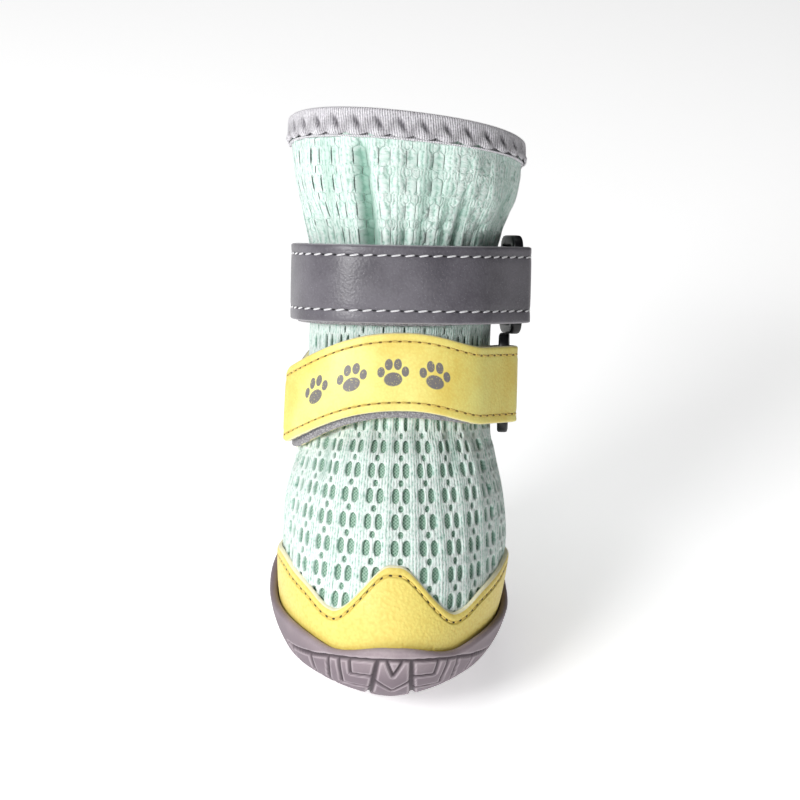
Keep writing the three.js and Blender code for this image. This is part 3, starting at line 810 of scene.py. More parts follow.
def start_faces(piece: bpy.types.Object, chosen: Sequence[bool]) -> None:
    """Enter edit mode with only some faces selected.

    Args:
        piece: the piece.
        chosen: for each face, whether it's selected.
    """
    select_only(piece)
    bpy.ops.object.mode_set(mode="EDIT")
    bpy.ops.mesh.select_mode(type="FACE")
    bpy.ops.mesh.select_all(action="DESELECT")
    bpy.ops.object.mode_set(mode="OBJECT")
    piece.data.polygons.foreach_set("select", chosen)
    bpy.ops.object.mode_set(mode="EDIT")


def weld(distance: float = 0.002) -> None:
    """Merge the selected points that lie together, in edit mode."""
    bpy.ops.mesh.remove_doubles(threshold=distance * MM)


def face_out() -> None:
    """Turn the selected faces of a closed shape outwards, in edit mode."""
    bpy.ops.mesh.normals_make_consistent(inside=False)


def laid_grid(name: str, points: np.ndarray, flat: np.ndarray | None = None,
              masks: dict[str, np.ndarray] | None = None, closed: bool = False) -> bpy.types.Object:
    """Lay a grid primitive on an array of points.

    Args:
        name: the piece's name.
        points: rows by columns by 3, in millimetres.
        flat: rows by columns by 2, each point's place on the flat piece.
        masks: rows by columns arrays to store on the points.
        closed: whether the shape closes, so its normals can be made to face out.

    Returns:
        The piece, seams merged and shaded smooth.
    """
    rows, columns = points.shape[:2]
    piece, row, column = new_grid(name, columns - 1, rows - 1, 2)
    mesh = piece.data
    mesh.name = name
    write_points(mesh, points[row, column])
    if flat is not None:
        write_flat(mesh, flat[row, column])
    for key, values in (masks or {}).items():
        write_mask(mesh, key, values[row, column])
    steps: list[Callable[[], object]] = [weld]
    if closed:
        steps.append(face_out)
    in_edit(piece, *steps)
    bpy.ops.object.shade_smooth()
    return piece


def dress(piece: bpy.types.Object, material: bpy.types.Material, node: str,
          replaces: bool) -> bpy.types.Object:
    """Give a piece its material and body, and hide the CAD node that it stands in for.

    Args:
        piece: the finished piece.
        material: its material.
        node: the CAD node that it goes with.
        replaces: whether it stands in for that node, which is then hidden.

    Returns:
        The same piece.
    """
    piece.data.materials.clear()
    piece.data.materials.append(material)
    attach(piece, BODY)
    if replaces:
        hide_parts(node)
    LOG.info("%s: %d faces", piece.name, len(piece.data.polygons))
    return piece


def ribbon_lines(half: float, margins: Sequence[float], middle: np.ndarray) -> np.ndarray:
    """Return places across a ribbon: close together by its edges, and the middle ones as given."""
    edge = np.array(margins)
    return np.concatenate([edge - half, middle, half - edge[::-1]])


def there_and_back(face: np.ndarray, back: np.ndarray) -> np.ndarray:
    """Join values along a ribbon's face with those along its back, which runs the other way."""
    return np.concatenate([face, back[::-1][1:]])


def well_spaced(table: np.ndarray) -> np.ndarray:
    """Return which stations stand clear of the one before."""
    return np.concatenate([[True], np.hypot(*np.diff(table[:, :2], axis=0).T) > 0.08])


def many_copies(name: str, unit_piece: bpy.types.Object, centres: np.ndarray, along: np.ndarray,
                out: np.ndarray) -> bpy.types.Object:
    """Copy a small piece to many places as one mesh.

    Args:
        name: the joined piece's name.
        unit_piece: the piece, along X and with Z outwards, in metres. It is removed.
        centres: where the copies go, in millimetres.
        along: the direction of each copy's X.
        out: the direction of each copy's Z.

    Returns:
        The joined piece.
    """
    base = read_points(unit_piece.data)
    faces = [tuple(face.vertices) for face in unit_piece.data.polygons]
    bpy.data.objects.remove(unit_piece)
    x = unit(along)
    z = unit(out - (out * x).sum(1, keepdims=True) * x)
    y = np.cross(z, x)
    frames = np.stack([x, y, z], axis=1)
    points = centres[:, None, :] * MM + np.einsum("vk,nkd->nvd", base, frames)
    count = len(base)
    all_faces = [tuple(v + copy * count for v in face) for copy in range(len(centres)) for face in faces]
    mesh = bpy.data.meshes.new(name)
    mesh.from_pydata(points.reshape(-1, 3).tolist(), [], all_faces)
    piece = bpy.data.objects.new(name, mesh)
    bpy.context.scene.collection.objects.link(piece)
    select_only(piece)
    bpy.ops.object.shade_smooth()
    return piece


def one_stitch(length: float, width: float, height: float) -> bpy.types.Object:
    """Model one stitch: a flattened bead with rounded ends, along X.

    Args:
        length: its length.
        width: its width.
        height: its thickness.

    Returns:
        The stitch.
    """
    bpy.ops.object.select_all(action="DESELECT")
    bpy.ops.mesh.primitive_uv_sphere_add(segments=8, ring_count=6, radius=0.5 * MM)
    stitch = bpy.context.active_object
    bead = read_points(stitch.data)[:, ::-1] / MM * 2
    bead[:, 0] = np.sign(bead[:, 0]) * np.abs(bead[:, 0]) ** 0.6
    write_points(stitch.data, bead * [length / 2, width / 2, height / 2])
    in_edit(stitch, face_out)
    return stitch


# ------------------------------------------------------------------------------------------------
# The last


@dataclass(frozen=True)
class Last:
    """The form that the boot is made on: slanted sections stacked from the sole's edge to the collar.

    Each row of the table is one section: the points where it meets the front and the back of the
    side profile, its half width, how far back it is widest, how square its nose and tail are, how
    far it sits to the ring side, and how many degrees it leans down to that side.
    """

    foot_length: float = 79.0
    foot_width: float = 57.6
    leg_tilt: float = 24.0
    collar_pitch: float = 31.0
    leg_depth: float = 44.0
    ankle_height: float = 68.0
    spring_rise: float = 7.5
    spring_from: float = -12.0
    spring_to: float = -44.0
    top: float = 11.0

    def leg_row(self, rise: float, flare: float, depth: float, pitch: float,
                rest: Sequence[float]) -> list[float]:
        """Return a section that stands square to the leg.

        Args:
            rise: how far up the leg it is.
            flare: how far its front stands out.
            depth: its length from front to back.
            pitch: the slope of its plane in degrees.
            rest: the other numbers of the row.

        Returns:
            The whole row.
        """
        tilt, slope = math.radians(self.leg_tilt), math.radians(pitch)
        front_y = rise * math.sin(tilt) - flare * math.cos(tilt)
        front_z = self.ankle_height + rise * math.cos(tilt) + flare * math.sin(tilt)
        return [front_y, front_z, front_y + depth * math.cos(slope), front_z - depth * math.sin(slope), *rest]

    def table(self) -> np.ndarray:
        """Return the sections, with one made-up row beyond each end."""
        half = self.foot_width / 2
        toe = -self.foot_length * 0.525
        heel = toe + self.foot_length
        tilt, depth = self.leg_tilt, self.leg_depth
        rows = [
            [toe + 6, 5.3, heel - 5.5, 5.3, half - 6.3, 0.54, 1.85, 2.3, 0, 0],
            [toe + 1.5, 10, heel - 1, 9, half - 3.4, 0.54, 1.9, 2.3, 0, 0],
            [toe, 16.5, heel, 14, half - 1.4, 0.53, 1.95, 2.3, 0.3, 0],
            [toe + 3, 26.5, heel, 19.5, half - 0.2, 0.52, 2.05, 2.2, 0.8, 0],
            [toe + 10, 39.5, heel - 0.5, 26, half + 0.3, 0.5, 2.05, 2.2, 1.4, 0],
            [toe + 20, 51.5, heel - 0.5, 33, half - 0.6, 0.5, 2.05, 2.2, 1.6, 0],
            [toe + 31.5, 61.5, heel + 0.5, 40.5, half - 3, 0.5, 2.05, 2.2, 1.8, 0],
            self.leg_row(0, 0, depth, tilt, [24, 0.5, 2.1, 2.1, 2, 0]),
            self.leg_row(20, 0, depth, tilt, [23.6, 0.5, 2.1, 2.1, 2.3, 0]),
            self.leg_row(43.2, 0, depth + 0.6, tilt, [24.2, 0.5, 2.1, 2.1, 2.9, 0]),
            self.leg_row(60, 5.5, depth + 12.5, tilt + 3, [28.6, 0.5, 2.2, 2.2, 3.2, 3]),
            self.leg_row(77.5, 7, depth + 16, self.collar_pitch, [30, 0.5, 2.2, 2.2, 3.3, 6]),
        ]
        rows = np.array(rows, float)
        return np.concatenate([[2 * rows[0] - rows[1]], rows, [2 * rows[-1] - rows[-2]]])

    def section(self, place: np.ndarray) -> np.ndarray:
        """Find sections of the form.

        Args:
            place: places in the stack, from 0, the lowest, to `top`, the collar.

        Returns:
            A row of the table for each place.
        """
        table = self.table()
        place = np.asarray(place, float)
        low = np.clip(np.floor(place).astype(int), 0, len(table) - 4)
        t = (place - low)[..., None]
        return curve_between(table[low], table[low + 1], table[low + 2], table[low + 3], t)

    def spring(self, y: np.ndarray) -> np.ndarray:
        """Return how far the toe is lifted at y."""
        ahead = np.maximum(0, (self.spring_from - y) / (self.spring_from - self.spring_to))
        return self.spring_rise * ahead**2

    def outline(self, section: np.ndarray, angle: np.ndarray, offset: np.ndarray) -> np.ndarray:
        """Return points of sections before the toe spring.

        Args:
            section: rows of the table.
            angle: radians round from the front, positive to the ring side.
            offset: how far outside the form.

        Returns:
            Points in millimetres.
        """
        front_y, front_z, back_y, back_z, half, wide, nose, tail, side, lean = np.moveaxis(section, -1, 0)
        centre_y = front_y + wide * (back_y - front_y)
        centre_z = front_z + wide * (back_z - front_z)
        ahead = np.cos(angle) >= 0
        reach_y = np.where(ahead, front_y, back_y) - centre_y
        reach_z = np.where(ahead, front_z, back_z) - centre_z
        length = np.hypot(reach_y, reach_z)
        exponent = np.where(ahead, nose, tail)
        across = (half + offset) * squared(np.sin(angle), exponent)
        along = (length + offset) / length * np.abs(squared(np.cos(angle), exponent))
        z = centre_z + reach_z * along - np.tan(np.radians(lean)) * across
        return np.stack(np.broadcast_arrays(across + side, centre_y + reach_y * along, z), axis=-1)

    def point(self, place: np.ndarray, angle: np.ndarray, offset: np.ndarray) -> np.ndarray:
        """Return points of the form, toe spring included.

        Args:
            place: places in the stack.
            angle: radians round from the front, positive to the ring side.
            offset: how far outside the form.

        Returns:
            Points in millimetres.
        """
        place, angle, offset = np.broadcast_arrays(place, angle, np.asarray(offset, float))
        points = self.outline(self.section(place), angle, offset)
        points[..., 2] += self.spring(points[..., 1])
        return points

    def front_places(self, low: float, high: float) -> tuple[np.ndarray, np.ndarray]:
        """Return places up the front and how far along the front each of them is."""
        places = np.linspace(low, high, 600)
        return places, run_lengths(self.point(places, 0.0, 0.0))

    def even_angles(self, place: np.ndarray, share: np.ndarray) -> np.ndarray:
        """Turn shares of the way round into angles.

        Args:
            place: places in the stack.
            share: shares of the girth from the front, positive to the ring side.

        Returns:
            Angles in radians, evenly spaced along the girth.
        """
        steps_up, steps_round = 88, 720
        levels = np.linspace(0, self.top, steps_up + 1)
        fan = all_round(steps_round // 2)
        rings = self.point(levels[:, None], fan[None, :], 0.0)
        walked = np.cumsum(np.linalg.norm(np.diff(rings, axis=1), axis=2), axis=1)
        walked = np.concatenate([np.zeros((len(levels), 1)), walked], axis=1)
        walked /= walked[:, -1:]
        shares = np.linspace(0, 1, steps_round + 1)
        lookup = np.stack([np.interp(shares, row, fan) for row in walked])
        i = np.clip(np.asarray(place) / self.top * steps_up, 0, steps_up - 0.001)
        j = np.mod(share, 1.0) * steps_round
        i0, j0 = np.floor(i).astype(int), np.clip(np.floor(j).astype(int), 0, steps_round - 1)
        fi, fj = i - i0, j - j0
        low = lookup[i0, j0] * (1 - fj) + lookup[i0, j0 + 1] * fj
        high = lookup[i0 + 1, j0] * (1 - fj) + lookup[i0 + 1, j0 + 1] * fj
        return low * (1 - fi) + high * fi

    def leg(self, x: np.ndarray, back: np.ndarray, rise: np.ndarray) -> np.ndarray:
        """Turn lengths of the leg's own frame into points.

        Args:
            x: how far across, to the ring side.
            back: how far back along the leg's section, from its middle.
            rise: how far up the leg.

        Returns:
            Points in millimetres.
        """
        tilt = math.radians(self.leg_tilt)
        from_front = back + self.leg_depth / 2
        y = rise * math.sin(tilt) + from_front * math.cos(tilt)
        z = self.ankle_height + rise * math.cos(tilt) - from_front * math.sin(tilt)
        return np.stack(np.broadcast_arrays(x, y, z), axis=-1)


LAST = Last()


# ------------------------------------------------------------------------------------------------
# Upper: air mesh and lining


@dataclass(frozen=True)
class Fold:
    """A soft inward fold or an outward ridge of the upper, laid one by one.

    Its middle runs from one angle and place to another, `depth` is inwards, and `reach` is its
    half width in degrees.
    """

    angle: float
    end_angle: float
    low: float
    high: float
    depth: float
    reach: float

    def relief(self, place: np.ndarray, degrees: np.ndarray) -> np.ndarray:
        """Work out the fold's relief.

        Args:
            place: places in the stack.
            degrees: degrees round from the front.

        Returns:
            How far the surface moves out, in millimetres.
        """
        t = np.clip((place - self.low) / (self.high - self.low), 0, 1)
        middle = self.angle + (self.end_angle - self.angle) * t
        fade = smooth_step(self.low - 0.18, self.low + 0.1, place)
        fade = fade * (1 - smooth_step(self.high - 0.45, self.high + 0.25, place))
        gap = (degrees - middle + 180) % 360 - 180
        return -self.depth * fade * np.exp(-((gap / self.reach) ** 2))


@dataclass(frozen=True)
class Hole:
    """A hole of the mesh: its middle, half of its block of faces, and how far it fills the block."""

    x: float
    y: float
    half_x: float
    half_y: float
    fill_x: float
    fill_y: float


@dataclass
class Upper:
    """The hollow upper: a lining shell and, over it, a sheet of air mesh with open holes."""

    columns: int = 27
    rows: int = 21
    cell_width: float = 7.4
    cell_height: float = 7.1
    cell_bottom: float = -2.35
    holes: tuple[Hole, ...] = (
        Hole(-1.5, 0, 1.0, 2.0, 1.16, 1.16),
        Hole(1.5, 0, 1.0, 2.0, 1.16, 1.16),
        Hole(0, 3.55, 0.5, 0.85, 1.7, 1.3),
    )
    lowest: float = 1.7
    wall: float = 2.2
    sheet: float = 0.85
    lining_rows: int = 67
    lining_columns: int = 96
    lining_radius: float = 27.0
    folds: list[Fold] = field(default_factory=lambda: [
        Fold(-20.5, -24, 9.0, 10.6, 3.6, 3.9),
        Fold(-12, -14, 9.0, 10.3, -1.3, 4.0),
        Fold(-29, -33, 9.0, 10.2, -0.9, 3.6),
        Fold(-55, -62, 9.0, 10.1, 0.8, 3.5),
        Fold(-43, -49, 9.0, 10.2, 0.9, 3.2),
        Fold(-32, -37, 9.0, 10.0, 0.8, 2.8),
        Fold(-5, -6, 9.0, 9.9, 0.8, 2.8),
        Fold(6, 6, 9.0, 10.2, 1.0, 3.0),
        Fold(17, 19, 9.0, 10.0, 0.9, 3.0),
        Fold(28, 31, 9.0, 10.3, 1.0, 3.4),
        Fold(41, 45, 9.0, 9.8, 0.6, 4.0),
        Fold(62, 66, 9.0, 10.0, 0.7, 5.0),
        Fold(95, 98, 9.0, 10.2, 0.9, 5.0),
        Fold(125, 128, 9.0, 10.1, 0.8, 5.0),
        Fold(160, 162, 9.0, 10.2, 1.0, 5.0),
        Fold(-90, -94, 9.0, 10.1, 0.8, 5.0),
        Fold(-120, -124, 9.0, 10.2, 0.9, 5.0),
        Fold(-152, -155, 9.0, 10.0, 0.8, 5.0),
        Fold(-48, -46, 5.6, 7.0, 0.9, 4.5),
        Fold(-30, -28, 5.9, 7.0, 0.9, 4.0),
        Fold(-12, -11, 6.2, 7.0, 0.7, 4.0),
        Fold(12, 10, 6.0, 7.0, 0.8, 4.0),
        Fold(33, 30, 5.8, 7.0, 1.0, 4.5),
        Fold(55, 50, 5.5, 7.0, 1.0, 5.0),
        Fold(100, 96, 5.7, 7.0, 0.8, 6.0),
        Fold(-85, -82, 5.7, 7.0, 0.8, 6.0),
    ])

    def relief(self, place: np.ndarray, angle: np.ndarray) -> np.ndarray:
        """Return the folds' relief on the form.

        Args:
            place: places in the stack.
            angle: radians round from the front.

        Returns:
            Millimetres outwards.
        """
        degrees = np.degrees(angle)
        total = sum(fold.relief(place, degrees) for fold in self.folds)
        total = total + self.gathers(place, angle)
        slack = smooth_step(9.2, 9.8, place) * (1 - smooth_step(10.5, LAST.top, place))
        total = total + slack * (0.5 * np.sin(angle * 7 + place * 2.2) + 0.25 * np.sin(angle * 13 - place))
        foot = smooth_step(2.5, 3.6, place) * (1 - smooth_step(6.2, 7, place))
        swell = 0.25 * np.sin(angle * 5 + place * 1.7) + 0.15 * np.sin(angle * 9 - place * 2.1)
        return total + foot * swell

    def make_lining(self) -> bpy.types.Object:
        """Build the lining: outer face, top edge, inner face and lower edge in one loop."""
        rows = self.lining_rows
        climb = np.linspace(0, LAST.top, rows)
        place = np.concatenate([climb, climb[::-1], climb[:1]])[:, None]
        depth = -np.repeat([self.sheet, self.wall, self.sheet], [rows, rows, 1])[:, None]
        angle, place, depth = np.broadcast_arrays(all_round(self.lining_columns)[None, :], place, depth)
        points = LAST.point(place, angle, depth + self.relief(place, angle) * smooth_step(1.5, 2.5, place))
        up = np.broadcast_to(run_lengths(points[:, 0])[:, None], angle.shape)
        flat = np.stack([angle * self.lining_radius, up], axis=-1)
        # The shaft mask places the lining's painted light up the leg.
        return laid_grid("upper_lining", points, flat, {"shaft_painted_light": smooth_step(8.4, 9.4, place)}, closed=True)

    def gathers(self, place: np.ndarray, angle: np.ndarray) -> np.ndarray:
        """Work out the close pleats that each strap presses into the knit above and below it.

        Args:
            place: places in the stack.
            angle: radians round from the front.

        Returns:
            Millimetres outwards.
        """
        above = smooth_step(8.95, 9.05, place) * (1 - smooth_step(9.15, 10.0, place))
        under = smooth_step(6.1, 6.75, place) * (1 - smooth_step(6.95, 7.05, place))
        fine = np.sin(angle * 47 + 1.8 * np.sin(angle * 5)) * 0.42
        fine = fine + np.sin(angle * 29 + 2.0 * np.sin(angle * 3)) * 0.35
        return fine * (above + 0.7 * under)

    def unit_cell(self) -> bpy.types.Object:
        """Model one repeat of the mesh: two tall holes and a small one below the next pair."""
        right = self.cell_width / 2
        x_lines = np.array([-right, -2.5, -1.5, -0.5, 0, 0.5, 1.5, 2.5, right])
        top = self.cell_bottom + self.cell_height
        y_lines = np.array([self.cell_bottom, -2, -1, 0, 1, 2, 2.7, 3.55, 4.4, top])
        cell, row, column = new_grid("air_mesh", len(x_lines) - 1, len(y_lines) - 1, 2)
        write_points(cell.data, np.stack([x_lines[column], y_lines[row], np.zeros(len(row))], axis=1))
        for hole in self.holes:
            self.open_hole(cell, hole)
        return cell

    def open_hole(self, cell: bpy.types.Object, hole: Hole) -> None:
        """Turn a block of the cell's faces into an oval hole with a rounded rim and a wall.

        Args:
            cell: the cell.
            hole: the hole.
        """
        mesh = cell.data
        points = read_points(mesh) / MM
        du, dv = (points[:, 0] - hole.x) / hole.half_x, (points[:, 1] - hole.y) / hole.half_y
        on_rim = (np.abs(np.maximum(np.abs(du), np.abs(dv)) - 1) < 0.02) & (points[:, 2] > -0.01)
        rim = np.flatnonzero(on_rim)
        order = rim[np.argsort(np.arctan2(dv[rim], du[rim]))]
        right = int(np.argmin(np.hypot(du[order] - 1, dv[order])))
        order = np.roll(order, -right)
        turn = 2 * math.pi * np.arange(len(order)) / len(order)
        points[order, 0] = hole.x + hole.half_x * hole.fill_x * squared(np.cos(turn), 2.4)
        points[order, 1] = hole.y + hole.half_y * hole.fill_y * squared(np.sin(turn), 2.4)
        inside = (np.abs(du) < 0.98) & (np.abs(dv) < 0.98)
        write_points(mesh, points)
        chosen = []
        for face in mesh.polygons:
            corners = list(face.vertices)
            centre = points[corners].mean(0)
            near = abs(centre[0] - hole.x) < hole.half_x and abs(centre[1] - hole.y) < hole.half_y
            chosen.append(bool(near and centre[2] > -0.01 and inside[corners].any()))
        start_faces(cell, chosen)
        bpy.ops.mesh.dissolve_faces()
        bpy.ops.mesh.inset(thickness=0.12 * MM, depth=-0.14 * MM)
        bpy.ops.mesh.inset(thickness=0.02 * MM, depth=-0.74 * MM)
        bpy.ops.mesh.delete(type="ONLY_FACE")
        bpy.ops.object.mode_set(mode="OBJECT")

    def make_mesh(self) -> bpy.types.Object:
        """Array the cell over the upper's flat sheet and wrap the sheet round the form."""
        piece = self.unit_cell()
        select_only(piece)
        across, up = (self.cell_width * MM, 0, 0), (0, self.cell_height * MM, 0)
        for count, offset in ((self.columns, across), (self.rows, up)):
            array = piece.modifiers.new("repeat", "ARRAY")
            array.count = count
            array.use_relative_offset = False
            array.use_constant_offset = True
            array.constant_offset_displace = offset
            array.use_merge_vertices = True
            array.merge_threshold = 0.01 * MM
            bpy.ops.object.modifier_apply(modifier=array.name)
        mesh = piece.data
        flat = read_points(mesh) / MM
        write_flat(mesh, flat[:, :2])
        self.wrap_sheet(mesh, flat)
        in_edit(piece, lambda: weld(0.004))
        bpy.ops.object.shade_smooth()
        return piece

    def plain_knit(self, place: np.ndarray, share: np.ndarray) -> tuple[np.ndarray, np.ndarray, np.ndarray]:
        """Return where the knit is plainer than on the foot.

        Args:
            place: places in the stack.
            share: shares of the girth from the front, from -0.5 to 0.5.

        Returns:
            Masks of the leg, of its ring side, where the holes are closed, and of its middle.
        """
        leg = smooth_step(7.2, 8.9, place)
        ring_side = smooth_step(0.015, 0.075, share) * (1 - smooth_step(0.36, 0.44, share)) * leg
        middle = smooth_step(-0.16, -0.08, share) * (1 - smooth_step(0.44, 0.48, share))
        return leg, np.clip(ring_side * 1.1, 0, 1), middle

    def draw_in(self, flat: np.ndarray, local: np.ndarray, narrow: np.ndarray) -> np.ndarray:
        """Narrow the sheet's holes.

        Args:
            flat: the sheet's points.
            local: how far across each is from its cell's middle.
            narrow: the share of a hole's width to take away.

        Returns:
            The points' new places across.
        """
        up = (flat[:, 1] + self.cell_height / 2) % self.cell_height - self.cell_height / 2
        in_tall_hole = np.abs(up) < 2.42
        hole_x = np.where(in_tall_hole, np.where(local > 0, 1.5, -1.5), 0.0)
        reach = np.where(in_tall_hole, 1.22, 0.9)
        away = local - hole_x
        pull = 1 - narrow * (1 - smooth_step(reach, reach + 0.3, np.abs(away)))
        return flat[:, 0] - local + hole_x + away * pull

    def wrap_sheet(self, mesh: bpy.types.Mesh, flat: np.ndarray) -> None:
        """Lay the flat sheet on the form, closing its holes where the knit is plain.

        Args:
            mesh: the arrayed sheet.
            flat: its points in millimetres, Z the depth.
        """
        girth = self.columns * self.cell_width
        places, walked = LAST.front_places(self.lowest, LAST.top)
        height = (flat[:, 1] - self.cell_bottom) / (self.rows * self.cell_height)
        place = np.interp(height * walked[-1], walked, places)
        leg, closing, middle = self.plain_knit(place, (flat[:, 0] / girth + 0.5) % 1 - 0.5)
        narrow = (0.72 + 0.18 * middle) * leg + 0.35 * bump(place, 7, 0.55)
        narrow = np.maximum(np.clip(narrow, 0, 0.78 + 0.12 * middle * leg), 0.97 * closing)
        local = flat[:, 0] - np.round(flat[:, 0] / self.cell_width) * self.cell_width
        angle = LAST.even_angles(place, self.draw_in(flat, local, narrow) / girth)
        depth = flat[:, 2] * (1 - closing) * (1 - (0.93 + 0.07 * middle) * leg)
        rib = bump(np.abs(local), 3.7, 1.0) * (0.32 + 0.2 * leg) * (1 - 0.5 * closing)
        relief = self.relief(place, angle)
        write_points(mesh, LAST.point(place, angle, relief + depth + rib + 0.02))
        rim = bump(flat[:, 2], -0.05, 0.12) * (np.abs(local) < 2.35)
        # This mask is painted shade, deepest where the folds and gathers sink in.
        write_mask(mesh, "crease_shade", np.clip((-relief - 0.2) / 1.5, 0, 1))
        write_mask(mesh, "calm", np.clip(leg + closing, 0, 1))
        # This mask is painted shade, deepest down the walls of the holes.
        write_mask(mesh, "pit_shade", np.clip(-flat[:, 2] / 0.88, 0, 1) * (1 - closing) * (1 - 0.75 * leg))
        # This mask is a painted highlight on the raised rim round each hole.
        write_mask(mesh, "rim", rim * (1 - closing) * (1 - (0.85 + 0.15 * middle) * leg))

    def build(self) -> None:
        """Make and dress the upper's pieces."""
        dress(self.make_lining(), LiningFinish().make(), "upper", True)
        dress(self.make_mesh(), KnitFinish().make(), "upper", False)


# ------------------------------------------------------------------------------------------------
# Collar tape


@dataclass
class CollarTape:
    """Knit tape folded over the collar's edge, with slanted slits between its rope-like tufts."""

    tufts: int = 34
    columns_a_tuft: int = 12
    girth: float = 192.0
    height: float = 7.0
    leg_span: float = 17.5
    outer: float = 0.3
    thick: float = 1.0
    inner: float = -2.5

    def profile(self) -> np.ndarray:
        """Return the loop round the tape's section as rows of height, offset and distance walked."""
        outer_face, inner_face = self.outer + self.thick, self.inner - self.thick
        round_from = self.height - 0.9
        rows = [(h, outer_face) for h in np.linspace(0.35, round_from, 17)]
        middle, half = (outer_face + inner_face) / 2, (outer_face - inner_face) / 2
        for turn in np.radians(np.linspace(8, 172, 14)):
            rows.append((round_from + 0.3 + 1.1 * math.sin(turn), middle + half * math.cos(turn)))
        rows += [(h, inner_face) for h in np.linspace(round_from, 0.35, 9)]
        rows += [(0.0, self.inner - self.thick * 0.6), (0.0, self.inner - 0.1), (0.5, self.inner)]
        rows += [(self.height, self.inner), (self.height, self.outer), (0.5, self.outer)]
        rows += [(0.0, self.outer + 0.1), (0.0, self.outer + self.thick * 0.6), rows[0]]
        table = np.array(rows)
        return np.concatenate([table, run_lengths(table)[:, None]], axis=1)

    def build(self) -> None:
        """Make and dress the tape."""
        profile = self.profile()
        share = np.linspace(0, 1, self.tufts * self.columns_a_tuft + 1)[None, :]
        height, offset, walked = (profile[:, k][:, None] for k in range(3))
        slope = math.radians(LAST.collar_pitch)
        up = np.array([0, math.sin(slope), math.cos(slope)])
        place = np.minimum(LAST.top - (self.height - height) / self.leg_span, LAST.top)
        over = np.maximum(height - self.height, 0)
        angle = LAST.even_angles(place * np.ones_like(share), share * np.ones_like(place))
        phase = share * self.tufts
        on_face = ((offset > self.outer + 0.5) & (walked < self.height + 1.5)).astype(float)
        level = height / self.height
        slit_centre = (phase + (level - 0.55) * 0.6) % 1 - 0.5
        slit = np.exp(-((slit_centre / 0.13) ** 2)) * bump(level, 0.5, 0.22) * on_face
        tooth = (phase - (level - 0.3) * 0.5) % 1 - 0.5
        tuft = (0.5 - np.abs(tooth)) * 2 * bump(level, 0.22, 0.2) * on_face
        scallop = (np.abs(phase % 1 - 0.5) * 2) ** 2 * (1 - smooth_step(0, 0.3, level)) * on_face
        crown = on_face * (0.35 * np.sin(np.clip(level, 0, 1) * math.pi))
        out = offset + crown + tuft * 0.7 - slit * 0.9
        lift = over + scallop * 0.9
        points = LAST.point(place * np.ones_like(share), angle, out)
        points = points + lift[..., None] * up
        flat = np.stack(np.broadcast_arrays(share * self.girth, walked), axis=-1)
        near_join = np.clip((0.5 - np.abs(tooth)) * 2.6, 0, 1)
        face = np.broadcast_to(on_face * (1 - smooth_step(0.5, 0.8, level)), near_join.shape)
        # The slit mask and the face away from the tufts' middles carry the tape's painted shade.
        masks = {"slit": np.clip(slit * 1.3, 0, 1), "tuft": near_join, "face": face}
        piece = laid_grid("collar_tape", points, flat, masks, closed=True)
        dress(piece, TapeFinish().make(), "collar_band", True)


# ------------------------------------------------------------------------------------------------
# Rubber cup sole


@dataclass(frozen=True)
class GroundRow:
    """A ring of the sole below its wall: its height, front, back, half width and nose."""

    z: float
    front: float
    back: float
    half: float
    nose: float


